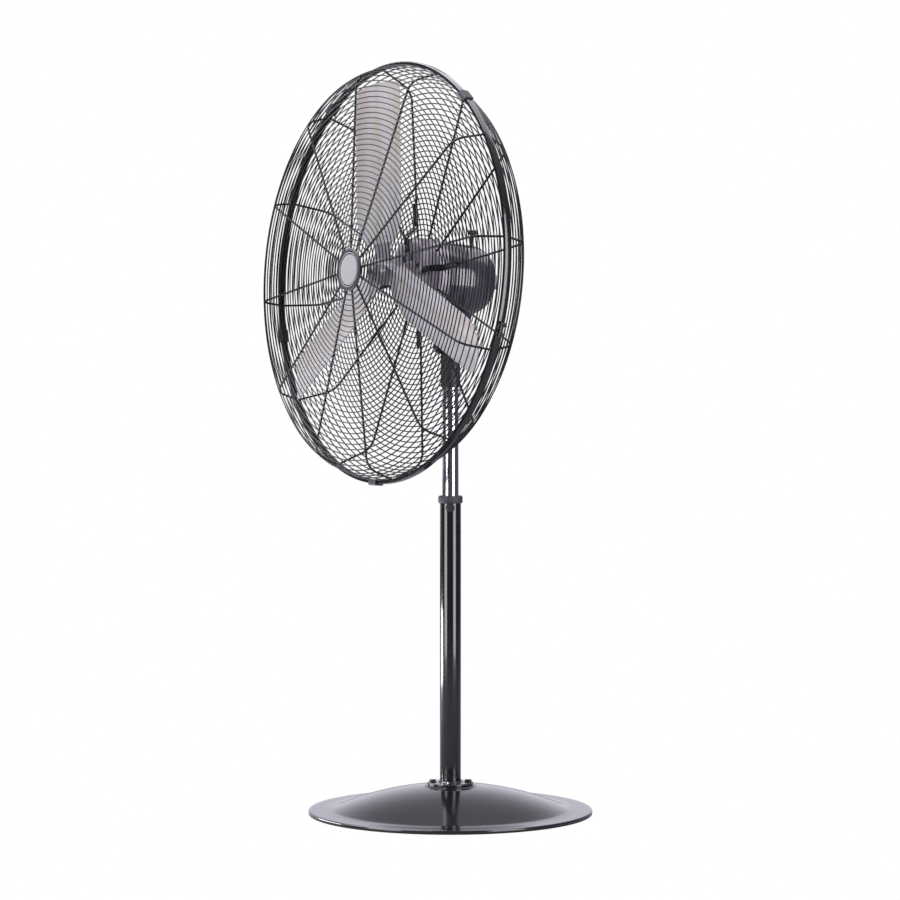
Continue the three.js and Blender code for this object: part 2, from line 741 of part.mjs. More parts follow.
function guardHalf(path, ringRadii, side) {
  const half = ringSize / 2;
  const places = [path[0], path[2], ...ringRadii.map((radius) => [radius, faceDistance(path, radius)])];
  const rings = places.map(([radius, distance]) =>
    sleeve(radius - half, radius + half, distance - half, distance + half, 24, 5),
  );
  const spokes = Array.from({ length: spokeCount }, (_, i) =>
    strip(path, spokeSize, spokeSize)
      .rotateX(Math.PI / 2)
      .rotateZ(radians(spokeTurn + (360 * i) / spokeCount)),
  );
  const whole = geometryOf(joined(...rings, ...spokes));
  return side > 0 ? whole.translate(0, 0, bandForward) : whole.rotateY(Math.PI).translate(0, 0, bandForward);
}

function faceDistance(path, radius) {
  const [outer, inner] = [path[3], path[4]];
  return outer[1] + ((inner[1] - outer[1]) * (outer[0] - radius)) / (outer[0] - inner[0]);
}

function evenRadii(inner, outer, count) {
  return Array.from({ length: count }, (_, i) => inner + ((outer - inner) * i) / count);
}

function addGuards() {
  const frontPath = dishPath(frontInset, frontDepth, frontHubRadius - spokeSize, hubDepth);
  const frontRings = evenRadii(frontHubRadius, guardRadius - frontInset, frontRingCount);
  const rearRings = evenRadii(rearHubRadius, guardRadius - rearInset, rearRingCount);
  addPiece(fan, "front_guard", guardHalf(frontPath, frontRings, 1), "blackWire");
  // Turned half round about +Y, a spoke at an angle lands at 180 degrees less that angle.
  const rear = guardHalf(rearDish(), rearRings, -1).rotateZ(radians(2 * spokeTurn));
  addPiece(fan, "rear_guard", rear, "blackWire");
}

function addBand() {
  const half = bandWidth / 2;
  const hoop = sleeve(bandInner, guardRadius, bandForward - half, bandForward + half, 72);
  const lugThickness = 3;
  const lugSpread = 8;
  const lug = (sign) =>
    block(
      [bandInner + 0.5, sign * lugSpread - lugThickness / 2, bandForward - half],
      [guardRadius + closureHeight, sign * lugSpread + lugThickness / 2, bandForward + half],
    );
  const opening = block(
    [bandInner - 5, -lugSpread, bandForward - bandWidth],
    [guardRadius + 5, lugSpread, bandForward + bandWidth],
  );
  const boltAcross = rod(armBoltShank + gap, -3 * lugSpread, 3 * lugSpread, 10)
    .rotateX(Math.PI / 2)
    .translate(guardRadius + closureHeight / 2, 0, bandForward);
  const turn = radians(closureAngle);
  const closed = solid(hoop)
    .subtract(solid(opening.rotateZ(turn)))
    .add(solid(lug(1).rotateZ(turn)))
    .add(solid(lug(-1).rotateZ(turn)))
    .subtract(solid(boltAcross.rotateZ(turn)));
  addPiece(fan, "guard_band", geometryOf(closed), "blackEnamel");

  const seat = lugSpread + lugThickness / 2 + gap;
  const along = (geometry) =>
    geometry
      .rotateX(-Math.PI / 2)
      .translate(guardRadius + closureHeight / 2, 0, bandForward)
      .rotateZ(turn);
  const bolt = hexBolt(2 * armBoltShank, 3.5, armBoltShank, 2 * seat + 8).translate(0, 0, seat);
  addPiece(fan, "band_screw", along(bolt), "zincSteel");
  const nut = hexNut(armBoltShank + gap, 2 * armBoltShank, -seat - 4, -seat);
  addPiece(fan, "band_nut", along(nut), "zincSteel");
}

// Clips straddle the band and grip both rims.
function addClips() {
  const jaw = bandWidth / 2 + gap;
  const back = guardRadius + gap;
  const rim = rimRadius - spokeSize;
  const outline = [
    [rim, -jaw - 3],
    [back + 3, -jaw - 3],
    [back + 3, jaw + 3],
    [rim, jaw + 3],
    [rim, jaw],
    [back, jaw],
    [back, -jaw],
    [rim, -jaw],
  ];
  clipAngles.forEach((angle, i) => {
    const clip = plate(outline, -clipLength / 2, clipLength / 2).rotateX(Math.PI / 2);
    addPiece(fan, `guard_clip_${i + 1}`, clip.translate(0, 0, bandForward), "blackPlastic", angle);
  });
}

// Four straps carry the rear guard from the front of the motor.
function addArms() {
  const rearPath = rearDish();
  const onBell = bellFront + gap + armThickness / 2;
  const overWires = (radius) =>
    bandForward - faceDistance(rearPath, radius) + spokeSize / 2 + 2 * gap + armThickness / 2;
  const path = [
    [armBoltRadius - 8, onBell],
    [bellRadius + 2, onBell],
    [rearHubRadius + 14, overWires(rearHubRadius)],
    [armReach, overWires(armReach)],
  ];
  const hole = rod(armBoltShank + gap, bellFront - 1, bellFront + 10, 10).translate(armBoltRadius, 0, 0);
  for (let i = 0; i < 4; i++) {
    const strap = cut(strip(path, armThickness, armWidth).rotateX(Math.PI / 2), hole);
    addPiece(fan, `guard_arm_${i + 1}`, strap, "blackEnamel", spokeTurn + 90 * i);
    const bolt = hexBolt(2 * armBoltShank, 3.5, armBoltShank, armThickness + bellWall + 3);
    bolt.translate(armBoltRadius, 0, bellFront + armThickness + 2 * gap);
    addPiece(fan, `arm_bolt_${i + 1}`, bolt, "zincSteel", spokeTurn + 90 * i);
  }
}

function addBadge() {
  const low = bandForward + hubDepth + spokeSize / 2 + gap;
  const ring = [
    [0, low],
    [badgeRadius, low],
    [badgeRadius, low + 2.5],
    [badgeRadius - 3, low + 4.5],
    [badgeDiscRadius + 3, low + 4.5],
    [badgeDiscRadius + gap, low + 3],
    [badgeDiscRadius + gap, low + 1.8],
    [0, low + 1.8],
  ];
  addPiece(fan, "badge_ring", turned(ring, 32), "blackPlastic");
  addPiece(fan, "badge_disc", rod(badgeDiscRadius, low + 1.8 + gap, low + 4, 36), "greyPlastic");
}

// ---- Rotor ----
function addRotor() {
  const bossFront = bladeForward + bossAhead;
  const bossRear = bladeForward - bossBehind;
  const threadRadius = shaftRadius - 2;
  const shaft = [
    [0, -crankOffset - 8],
    [shaftRadius, -crankOffset - 8],
    [shaftRadius, bossFront],
    [threadRadius, bossFront],
    [threadRadius, bossFront + 10],
    [0, bossFront + 10],
  ];
  addPiece(fan, "motor_shaft", turned(shaft, 20), "bareSteel");
  const core = sleeve(shaftRadius + gap, rotorRadius, statorRear, statorFront);
  addPiece(fan, "rotor_core", core, "laminatedSteel");

  const boss = rod(spiderBossRadius, bossRear, bossFront);
  const armTop = -bladeCamber - bladeThickness / 2 - gap;
  const arm = block(
    [spiderBossRadius / 2, -spiderArmWidth / 2, armTop - spiderArmThickness],
    [spiderReach, spiderArmWidth / 2, armTop],
  );
  const arms = bladeAngles().map((angle) => pitched(arm.clone(), angle));
  const bore = rod(shaftRadius + gap, bossRear - 1, bossFront + 1, 20);
  addPiece(fan, "blade_spider", geometryOf(joined(boss, ...arms).subtract(solid(bore))), "zincSteel");
  const nut = hexNut(threadRadius + runningGap, 2 * threadRadius, bossFront + gap, bossFront + 8);
  addPiece(fan, "spider_nut", nut, "zincSteel");

  bladeAngles().forEach((angle, i) => {
    addPiece(fan, `blade_${i + 1}`, pitched(bladeGeometry(), angle), "brushedAluminium");
  });
}

function bladeAngles() {
  return Array.from({ length: bladeCount }, (_, i) => firstBladeAngle + (360 * i) / bladeCount);
}

// Turns a piece built along +X to a blade's pitch and angle, at the blades' plane.
function pitched(geometry, angle) {
  return geometry
    .rotateX(radians(bladePitch))
    .rotateZ(radians(angle))
    .translate(0, 0, bladeForward);
}

// A cambered sheet along +X, hollow side forward, trimmed to a plan with rounded tip corners.
function bladeGeometry() {
  const halfChord = bladeChord / 2;
  const across = Array.from({ length: 9 }, (_, i) => -halfChord + (bladeChord * i) / 8);
  const section = across.map((y) => [y, bladeCamber * ((y / halfChord) ** 2 - 1)]);
  const sheet = strip(section, bladeThickness, tipRadius + 20);
  // The section's [x, y] becomes [y, z] and the extrusion runs along X.
  sheet.applyMatrix4(
    new THREE.Matrix4().makeBasis(
      new THREE.Vector3(0, 1, 0),
      new THREE.Vector3(0, 0, 1),
      new THREE.Vector3(1, 0, 0),
    ),
  );
  sheet.translate(tipRadius / 2, 0, 0);
  const reach = Math.sqrt(tipRadius ** 2 - halfChord ** 2);
  const plan = new THREE.Shape();
  plan.moveTo(bladeRoot, -halfChord * 0.62);
  plan.lineTo(bladeRoot + 40, -halfChord);
  plan.lineTo(reach - 18, -halfChord);
  plan.quadraticCurveTo(reach, -halfChord, tipRadius - 4, -halfChord * 0.55);
  plan.quadraticCurveTo(tipRadius, 0, tipRadius - 8, halfChord * 0.3);
  plan.quadraticCurveTo(reach - 8, halfChord, reach - 50, halfChord);
  plan.lineTo(bladeRoot + 40, halfChord);
  plan.lineTo(bladeRoot, halfChord * 0.62);
  const trim = new THREE.ExtrudeGeometry(plan, { depth: 60, bevelEnabled: false, curveSegments: 5 });
  return geometryOf(solid(sheet).intersect(solid(trim.translate(0, 0, -30))));
}

addBase();
addFlange();
addPole();
addHeightScrew();
addMast();
addNeck();
addSwivel();
addCrank();
addGearbox();
addKnob();
addMotorShells();
addMotorCore();
addControls();
addGuards();
addBand();
addClips();
addArms();
addBadge();
addRotor();

export default root;
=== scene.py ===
"""Looks of a floor-standing pedestal fan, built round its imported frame.

Shapes are worked out in millimetres in two local frames and then put in place in metres:
the stand's is the part's own frame, and the fan's starts where the fan axis crosses the swivel axis,
with +X across, +Y up and +Z forward.
Every shape is a grid of two parameters or a section carried along a path.
"""

import json
import math

import bpy
import numpy as np
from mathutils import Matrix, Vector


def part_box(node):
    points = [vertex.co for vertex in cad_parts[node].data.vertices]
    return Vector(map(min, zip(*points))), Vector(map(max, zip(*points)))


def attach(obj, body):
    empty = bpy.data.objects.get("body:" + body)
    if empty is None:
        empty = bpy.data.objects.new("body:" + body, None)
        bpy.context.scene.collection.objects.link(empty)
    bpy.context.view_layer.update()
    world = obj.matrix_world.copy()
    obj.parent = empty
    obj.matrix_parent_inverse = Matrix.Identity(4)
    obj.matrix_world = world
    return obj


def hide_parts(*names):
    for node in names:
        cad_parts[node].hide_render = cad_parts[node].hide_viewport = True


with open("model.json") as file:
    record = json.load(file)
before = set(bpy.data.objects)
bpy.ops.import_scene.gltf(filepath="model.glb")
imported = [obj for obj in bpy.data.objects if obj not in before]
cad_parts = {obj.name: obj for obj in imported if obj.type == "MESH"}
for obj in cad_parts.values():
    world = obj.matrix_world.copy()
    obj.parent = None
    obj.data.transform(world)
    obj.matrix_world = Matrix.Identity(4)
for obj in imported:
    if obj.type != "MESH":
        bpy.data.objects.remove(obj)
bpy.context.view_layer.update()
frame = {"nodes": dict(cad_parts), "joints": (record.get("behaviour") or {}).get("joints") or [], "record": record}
joints = {joint["name"]: joint for joint in frame["joints"]}

TAU = 2 * math.pi
MM = 0.001


# ---- Local frames ----
def unit(vector):
    vector = np.asarray(vector, float)
    return vector / np.linalg.norm(vector)


PIN = np.array(joints["head_tilt"]["pos_m"], float)
UP = unit(joints["oscillation"]["axis"])
FORWARD = unit(joints["blade_spin"]["axis"])
ACROSS = np.cross(UP, FORWARD)
FAN_CENTRE = PIN + UP * np.dot(np.array(joints["blade_spin"]["pos_m"]) - PIN, UP)


def on_stand(points):
    return np.asarray(points, float) * MM


def on_fan(points):
    """[x, y, z] in the fan's frame: x across, y up, z forward along the fan axis."""
    return FAN_CENTRE + (np.asarray(points, float) * MM) @ np.array([ACROSS, UP, FORWARD])


# ---- Surfaces: each is (points, faces) in millimetres ----
def quads(rows, columns, wrap_rows=False, wrap_columns=False):
    """Quads of a grid of points listed row by row, facing the side from which a row runs anticlockwise."""
    i, k = np.meshgrid(
        np.arange(rows if wrap_rows else rows - 1),
        np.arange(columns if wrap_columns else columns - 1),
        indexing="ij",
    )
    over, beside = (i + 1) % rows, (k + 1) % columns
    corners = [i * columns + k, i * columns + beside, over * columns + beside, over * columns + k]
    return np.stack(corners, -1).reshape(-1, 4)


def joined(*surfaces):
    """Several surfaces as one, with the faces' numbers moved on."""
    points, faces, count = [], [], 0
    for some_points, some_faces in surfaces:
        points.append(np.asarray(some_points, float))
        faces += [[count + corner for corner in face] for face in some_faces]
        count += len(some_points)
    return np.concatenate(points), faces


def rounded(corners, steps=4, closed=True):
    """Corners (x, y) or (x, y, reach): one with a reach becomes the parabola that starts that far before it
    and ends as far after it."""
    line = []
    for i, corner in enumerate(corners):
        here, reach = np.array(corner[:2], float), corner[2] if len(corner) > 2 else 0
        if not reach or (not closed and i in (0, len(corners) - 1)):
            line.append(here)
            continue
        start = here + reach * unit(np.subtract(corners[i - 1][:2], here))
        end = here + reach * unit(np.subtract(corners[(i + 1) % len(corners)][:2], here))
        for t in np.linspace(0, 1, steps + 1):
            line.append((1 - t) ** 2 * start + 2 * t * (1 - t) * here + t**2 * end)
    return np.array(line)


def turned(profile, segments=96):
    """[radius, height] points, anticlockwise in the half plane, spun about +Z: (r cos a, r sin a, h).
    A profile with both ends on the axis closes at two poles; any other joins its last point to its first."""
    profile = np.asarray(profile, float)
    polar = profile[0, 0] == 0 and profile[-1, 0] == 0
    rings = profile[1:-1] if polar else profile
    angle = np.arange(segments) * TAU / segments
    radius, height = rings[:, :1], rings[:, 1:]
    points = np.stack([radius * np.cos(angle), radius * np.sin(angle), height + 0 * angle], -1).reshape(-1, 3)
    faces = quads(len(rings), segments, wrap_rows=not polar, wrap_columns=True).tolist()
    if polar:
        low, high = len(points), len(points) + 1
        last = (len(rings) - 1) * segments
        points = np.vstack([points, [0, 0, profile[0, 1]], [0, 0, profile[-1, 1]]])
        faces += [[low, (k + 1) % segments, k] for k in range(segments)]
        faces += [[high, last + k, last + (k + 1) % segments] for k in range(segments)]
    return points, faces


def extruded(outline, low, high, bevel=0.0):
    """An anticlockwise outline in X and Y raised from low to high, drawn in by the bevel at both ends."""
    outline = np.asarray(outline, float)
    along = np.roll(outline, -1, 0) - np.roll(outline, 1, 0)
    inward = np.stack([-along[:, 1], along[:, 0]], -1)
    inward /= np.maximum(np.linalg.norm(inward, axis=1, keepdims=True), 1e-9)
    levels = [(low, 0), (high, 0)]
    if bevel:
        levels = [(low, bevel), (low + bevel, 0), (high - bevel, 0), (high, bevel)]
    rows = [np.column_stack([outline + draw * inward, np.full(len(outline), z)]) for z, draw in levels]
    count = len(outline)
    faces = quads(len(rows), count, wrap_columns=True).tolist()
    faces.append(list(range(count))[::-1])
    faces.append([(len(rows) - 1) * count + k for k in range(count)])
    return np.concatenate(rows), faces


def swept(path, section, side, closed=False):
    """A section carried along a path: point (i, k) is p_i + s_k side_i + l_k lift_i, where lift is the path's
    tangent crossed with side. The section is anticlockwise; open ends are capped."""
    path, section = np.asarray(path, float), np.asarray(section, float)
    tangent = np.roll(path, -1, 0) - np.roll(path, 1, 0) if closed else np.gradient(path, axis=0)
    tangent /= np.linalg.norm(tangent, axis=1, keepdims=True)
    side = np.broadcast_to(np.asarray(side, float), path.shape)
    lift = np.cross(tangent, side)
    rows, columns = len(path), len(section)
    points = path[:, None] + section[:, :1] * side[:, None] + section[:, 1:] * lift[:, None]
    faces = quads(rows, columns, wrap_rows=closed, wrap_columns=True).tolist()
    if not closed:
        faces.append(list(range(columns))[::-1])
        faces.append([(rows - 1) * columns + k for k in range(columns)])
    return points.reshape(-1, 3), faces


def circle(radius, sides, start=0.0):
    """Points of a circle in X and Y, anticlockwise."""
    angle = start + np.arange(sides) * TAU / sides
    return radius * np.column_stack([np.cos(angle), np.sin(angle)])


def ring(radius, height, section, segments=144):
    """A section [along z, outwards] carried round a circle about +Z."""
    path = np.column_stack([circle(radius, segments), np.full(segments, height)])
    return swept(path, section, (0, 0, 1), closed=True)


def spread(surface, degrees):
    """A surface turned about +Z by an angle in degrees."""
    a = math.radians(degrees)
    turn = np.array([[math.cos(a), math.sin(a), 0], [-math.sin(a), math.cos(a), 0], [0, 0, 1]])
    return np.asarray(surface[0], float) @ turn, surface[1]


def moved(surface, x=0.0, y=0.0, z=0.0):
    return np.asarray(surface[0], float) + np.array([x, y, z]), surface[1]


def aimed(surface, right, up, out, at=(0, 0, 0)):
    """A surface with its X, Y and Z axes laid along three directions, and its origin moved."""
    points = np.asarray(surface[0], float) @ np.array([right, up, out], float)
    return points + np.asarray(at, float), surface[1]


def pierced(body, *tools):
    """The body's surface with the tools' volumes cut away."""
    made = []
    for points, faces in (body, joined(*tools)):
        mesh = bpy.data.meshes.new("cutting")
        mesh.from_pydata(np.asarray(points).tolist(), [], faces)
        made.append(bpy.data.objects.new("cutting", mesh))
        bpy.context.scene.collection.objects.link(made[-1])
    change = made[0].modifiers.new("cut", "BOOLEAN")
    change.operation, change.object, change.solver = "DIFFERENCE", made[1], "EXACT"
    result = made[0].evaluated_get(bpy.context.evaluated_depsgraph_get()).to_mesh()
    points = np.array([vertex.co[:] for vertex in result.vertices])
    faces = [list(face.vertices) for face in result.polygons]
    for each in made:
        bpy.data.objects.remove(each)
    return points, faces


# ---- Materials ----
def linear(code):
    """An sRGB hex colour as linear red, green, blue and alpha."""
    values = np.array([int(code[i : i + 2], 16) for i in (1, 3, 5)]) / 255
    values = np.where(values <= 0.04045, values / 12.92, ((values + 0.055) / 1.055) ** 2.4)
    return (*values.tolist(), 1.0)


def add_node(tree, kind, inputs=None, **settings):
    """Adds one node; settings are its own properties, and inputs give a socket's value or what feeds it."""
    made = tree.nodes.new(kind)
    for key, value in settings.items():
        setattr(made, key, value)
    for key, value in (inputs or {}).items():
        if isinstance(value, bpy.types.NodeSocket):
            tree.links.new(value, made.inputs[key])
        else:
            made.inputs[key].default_value = value
    return made


def new_material(name, **shader_values):
    """A material of one Principled shader with plain values, its tree, the shader and Object coordinates."""
    material = bpy.data.materials.new(name)
    material.use_nodes = True
    tree = material.node_tree
    tree.nodes.clear()
    sockets = {key.replace("_", " "): value for key, value in shader_values.items()}
    shader = add_node(tree, "ShaderNodeBsdfPrincipled", sockets)
    add_node(tree, "ShaderNodeOutputMaterial", {"Surface": shader.outputs[0]})
    return material, tree, shader, add_node(tree, "ShaderNodeTexCoord").outputs["Object"]


def per_mm(size):
    """Texture scale that repeats a pattern every so many millimetres."""
    return 1000 / size


def stretched(tree, place, sizes, turn=(0, 0, 0)):
    """Coordinates scaled so that a texture of scale 1 has these feature sizes in mm along its axes."""
    inputs = {"Vector": place, "Rotation": turn, "Scale": [per_mm(size) for size in sizes]}
    return add_node(tree, "ShaderNodeMapping", inputs, vector_type="POINT").outputs[0]


def finish_with(tree, shader, pattern, colours, roughness, depth, bump_from=None):
    """Drives colour and roughness from one pattern and bump from another, depth in mm."""
    low, high = colours
    # The colour sockets of a mix node are A at 6, B at 7 and the result at 2.
    colour = add_node(tree, "ShaderNodeMix", data_type="RGBA")
    tree.links.new(pattern, colour.inputs["Factor"])
    colour.inputs[6].default_value = linear(low)
    colour.inputs[7].default_value = linear(high)
    tree.links.new(colour.outputs[2], shader.inputs["Base Color"])
    inputs = {"Value": pattern, "To Min": roughness[0], "To Max": roughness[1]}
    tree.links.new(add_node(tree, "ShaderNodeMapRange", inputs).outputs[0], shader.inputs["Roughness"])
    if depth:
        inputs = {"Height": bump_from or pattern, "Distance": depth * MM, "Strength": 1.0}
        tree.links.new(add_node(tree, "ShaderNodeBump", inputs).outputs[0], shader.inputs["Normal"])


def black_enamel():
    """Stoved enamel on pressed steel: nearly black, deep gloss, with the faint orange peel of spraying."""
    coat = {"Coat_Weight": 0.6, "Coat_Roughness": 0.06}
    material, tree, shader, place = new_material("black_stoved_enamel", IOR=1.52, **coat)
    cloud = add_node(tree, "ShaderNodeTexNoise", {"Vector": place, "Scale": per_mm(60), "Detail": 3.0})
    peel = add_node(tree, "ShaderNodeTexNoise", {"Vector": place, "Scale": per_mm(3.2), "Detail": 1.0})
    finish_with(tree, shader, cloud.outputs[0], ("#0e0d11", "#161519"), (0.12, 0.2), 0.008, peel.outputs[0])
    return material


def black_wire():
    """Powder-coated wire: black with a soft sheen and the grain of baked powder."""
    material, tree, shader, place = new_material("black_powder_coated_wire", IOR=1.4)
    grain = add_node(tree, "ShaderNodeTexNoise", {"Vector": place, "Scale": per_mm(1.6), "Detail": 2.0})
    finish_with(tree, shader, grain.outputs[0], ("#0d0d0f", "#161619"), (0.3, 0.42), 0.02)
    return material


def chrome():
    """Chromed steel tube: a mirror with the fine lengthwise lines of polishing."""
    material, tree, shader, place = new_material("bright_chrome_plate", Metallic=1.0)
    lines = stretched(tree, place, (1.2, 1.2, 60))
    polish = add_node(tree, "ShaderNodeTexNoise", {"Vector": lines, "Scale": 1.0, "Detail": 2.0})
    finish_with(tree, shader, polish.outputs[0], ("#bfc0c4", "#d2d3d6"), (0.08, 0.15), 0.002)
    return material


def zinc_steel():
    """Bright zinc plate: pale bluish grey with cloudy patches and a fine crystal grain."""
    material, tree, shader, place = new_material("bright_zinc_plated_steel", Metallic=0.6)
    cloud = add_node(tree, "ShaderNodeTexNoise", {"Vector": place, "Scale": per_mm(5), "Detail": 4.0})
    grain = add_node(tree, "ShaderNodeTexNoise", {"Vector": place, "Scale": per_mm(0.8), "Detail": 2.0})
    colours = ("#a4a4a9", "#c6c7ca")
    finish_with(tree, shader, cloud.outputs[0], colours, (0.25, 0.42), 0.01, grain.outputs[0])
    return material


def bare_steel():
    """Ground steel: mid grey metal with the marks of turning."""
    material, tree, shader, place = new_material("ground_bare_steel", Metallic=1.0)
    marks = add_node(tree, "ShaderNodeTexNoise", {"Vector": place, "Scale": per_mm(1.5), "Detail": 3.0})
    finish_with(tree, shader, marks.outputs[0], ("#77777b", "#94949a"), (0.3, 0.45), 0.01)
    return material


def cast_grey():
    """Die-cast aluminium under thin grey lacquer: a soft metallic sheen over the grain of the casting."""
    values = {"Metallic": 0.1, "IOR": 1.5, "Coat_Weight": 0.2}
    material, tree, shader, place = new_material("grey_lacquered_casting", **values)
    cloud = add_node(tree, "ShaderNodeTexNoise", {"Vector": place, "Scale": per_mm(14), "Detail": 3.0})
    grain = add_node(tree, "ShaderNodeTexNoise", {"Vector": place, "Scale": per_mm(1.3), "Detail": 2.0})
    colours = ("#9a959f", "#b0abb5")
    finish_with(tree, shader, cloud.outputs[0], colours, (0.36, 0.5), 0.05, grain.outputs[0])
    return material


def motor_enamel():
    """Smooth blue-black enamel on the motor's pressed shell, glossy enough to mirror the room."""
    coat = {"Coat_Weight": 0.8, "Coat_Roughness": 0.05}
    material, tree, shader, place = new_material("blue_black_motor_enamel", IOR=1.55, **coat)
    cloud = add_node(tree, "ShaderNodeTexNoise", {"Vector": place, "Scale": per_mm(45), "Detail": 2.0})
    peel = add_node(tree, "ShaderNodeTexNoise", {"Vector": place, "Scale": per_mm(3), "Detail": 1.0})
    colours = ("#31353f", "#3c414c")
    finish_with(tree, shader, cloud.outputs[0], colours, (0.16, 0.24), 0.01, peel.outputs[0])
    return material


def black_plastic():
    """Moulded nylon: charcoal black with a spark-eroded grain."""
    material, tree, shader, place = new_material("black_moulded_nylon", IOR=1.53)
    grain = add_node(tree, "ShaderNodeTexNoise", {"Vector": place, "Scale": per_mm(0.9), "Detail": 2.0})
    finish_with(tree, shader, grain.outputs[0], ("#1f1f22", "#2d2d31"), (0.38, 0.55), 0.04)
    return material


def collar_plastic():
    """Moulded polypropylene: matt dark grey, a little waxy."""
    material, tree, shader, place = new_material("grey_moulded_polypropylene", IOR=1.49)
    grain = add_node(tree, "ShaderNodeTexNoise", {"Vector": place, "Scale": per_mm(1.1), "Detail": 3.0})
    finish_with(tree, shader, grain.outputs[0], ("#333137", "#424047"), (0.5, 0.68), 0.05)
    return material


def grey_plastic():
    """ABS in silver lacquer: light grey with a very fine metallic speckle."""
    values = {"Metallic": 0.15, "IOR": 1.5, "Coat_Weight": 0.3}
    material, tree, shader, place = new_material("silver_lacquered_abs", **values)
    speckle = add_node(tree, "ShaderNodeTexNoise", {"Vector": place, "Scale": per_mm(1.4), "Detail": 4.0})
    finish_with(tree, shader, speckle.outputs[0], ("#949495", "#a8a8a9"), (0.36, 0.48), 0.01)
    return material


def blade_aluminium():
    """Rolled aluminium sheet with a satin finish: pale, in warm and cool streaks that run along each blade.
    Its UV is the sheet's own length and width in metres."""
    material, tree, shader, _ = new_material("satin_rolled_aluminium_sheet", Metallic=0.35, IOR=1.5)
    sheet = add_node(tree, "ShaderNodeUVMap", uv_map="sheet").outputs[0]
    broad = stretched(tree, sheet, (420, 26, 1))
    streaks = add_node(tree, "ShaderNodeTexNoise", {"Vector": broad, "Scale": 1.0, "Detail": 2.0})
    fine = stretched(tree, sheet, (70, 1.1, 1))
    lines = add_node(tree, "ShaderNodeTexNoise", {"Vector": fine, "Scale": 1.0, "Detail": 2.0})
    inputs = {"Value": streaks.outputs[0], "From Min": 0.35, "From Max": 0.65}
    contrast = add_node(tree, "ShaderNodeMapRange", inputs)
    colours = ("#beb6aa", "#c1c5ca")
    finish_with(tree, shader, contrast.outputs[0], colours, (0.36, 0.46), 0.01, lines.outputs[0])
    return material


def laminated_steel():
    """A stack of pressed steel sheets, drawn 2 mm apart so that the edges show."""
    material, tree, shader, place = new_material("laminated_motor_steel", Metallic=0.8)
    tilt = math.atan2(FORWARD[2], -FORWARD[1])
    stack = stretched(tree, place, (2, 2, 2), (-tilt, 0, 0))
    sheets = add_node(tree, "ShaderNodeTexWave", {"Vector": stack, "Scale": 0.32}, bands_direction="Y")
    finish_with(tree, shader, sheets.outputs[0], ("#404145", "#626468"), (0.45, 0.65), 0.2)
    return material


def winding_copper():
    """Enamelled copper wire wound in turns, drawn 1.5 mm apart."""
    material, tree, shader, place = new_material("enamelled_copper_winding", Metallic=0.7, Coat_Weight=0.5)
    turns = stretched(tree, place, (1.5, 1.5, 1.5))
    inputs = {"Vector": turns, "Scale": 0.32, "Distortion": 1.5}
    wires = add_node(tree, "ShaderNodeTexWave", inputs, bands_direction="Y")
    finish_with(tree, shader, wires.outputs[0], ("#6b3417", "#a65c30"), (0.3, 0.45), 0.3)
    return material


FINISHES = {
    "black_enamel": black_enamel(),
    "black_wire": black_wire(),
    "chrome": chrome(),
    "zinc_steel": zinc_steel(),
    "bare_steel": bare_steel(),
    "cast_grey": cast_grey(),
    "motor_enamel": motor_enamel(),
    "black_plastic": black_plastic(),
    "collar_plastic": collar_plastic(),
    "grey_plastic": grey_plastic(),
    "blade_aluminium": blade_aluminium(),
    "laminated_steel": laminated_steel(),
    "winding_copper": winding_copper(),
}


# ---- Pieces ----
def add_piece(name, surface, place, body, finish, *replaced, sharp=32.0, sheet=None):
    """Makes a surface a mesh in place, smooth except at edges over `sharp` degrees, riding on a body and
    standing for the CAD nodes that it replaces. A sheet gives each point's UV."""
    points, faces = surface
    mesh = bpy.data.meshes.new(name)
    mesh.from_pydata(place(points).tolist(), [], faces)
    mesh.polygons.foreach_set("use_smooth", np.ones(len(mesh.polygons), bool))
    mesh.set_sharp_from_angle(angle=math.radians(sharp))
    mesh.materials.append(FINISHES[finish])
    if sheet is not None:
        corners = np.zeros(len(mesh.loops), int)
        mesh.loops.foreach_get("vertex_index", corners)
        mesh.uv_layers.new(name="sheet").data.foreach_set("uv", np.asarray(sheet)[corners].ravel())
    piece = bpy.data.objects.new(name, mesh)
    bpy.context.scene.collection.objects.link(piece)
    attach(piece, body)
    if replaced:
        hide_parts(*replaced)
    return piece


def finish_cad_nodes():
    """Gives every CAD node the material of its slot in the record."""
    slots = {part["node"]: part["material_slot"] for part in frame["record"]["subparts"]}
    for name, node in frame["nodes"].items():
        node.data.materials.clear()
        node.data.materials.append(FINISHES[slots[name]])


def hexagon(radius):
    """A hexagon's outline with softened corners."""
    return rounded([(*corner, 0.12 * radius) for corner in circle(radius, 6)], 3)


def bolt_head(radius, height, washer=0.0):
    """A chamfered hexagon head on height zero, on a round washer if asked."""
    head = extruded(hexagon(radius), 0.6 if washer else 0, height, 0.14 * radius)
    if not washer:
        return head
    disc = turned(rounded([(0, 0), (washer, 0, 0.3), (washer, 1.2, 0.3), (0, 1.2)], 2, closed=False), 32)
    return joined(disc, head)


# ---- Stand ----
BASE_RADIUS = 284
BASE_WALL = 5
BRIM_HEIGHT = 8
BRIM_WIDTH = 48
DOME_HEIGHT = 57
PAD_RADIUS = 52
FLANGE_RADIUS = 46
FLANGE_LOW, FLANGE_HIGH = 57.3, 62.3
FLANGE_BOLT_CIRCLE = 35.5
FLANGE_BOLT_TURN = 56
POLE_RADIUS = 21
POLE_WALL = 2.5
TUBE_RADIUS = 16
TUBE_WALL = 2
POLE_LOW, POLE_TOP = 58.6, 632
COLLAR_TOP = POLE_TOP + 4
SCREW_HEIGHT = POLE_TOP - 20
SCREW_AZIMUTH = 56  # degrees from -Y towards +X


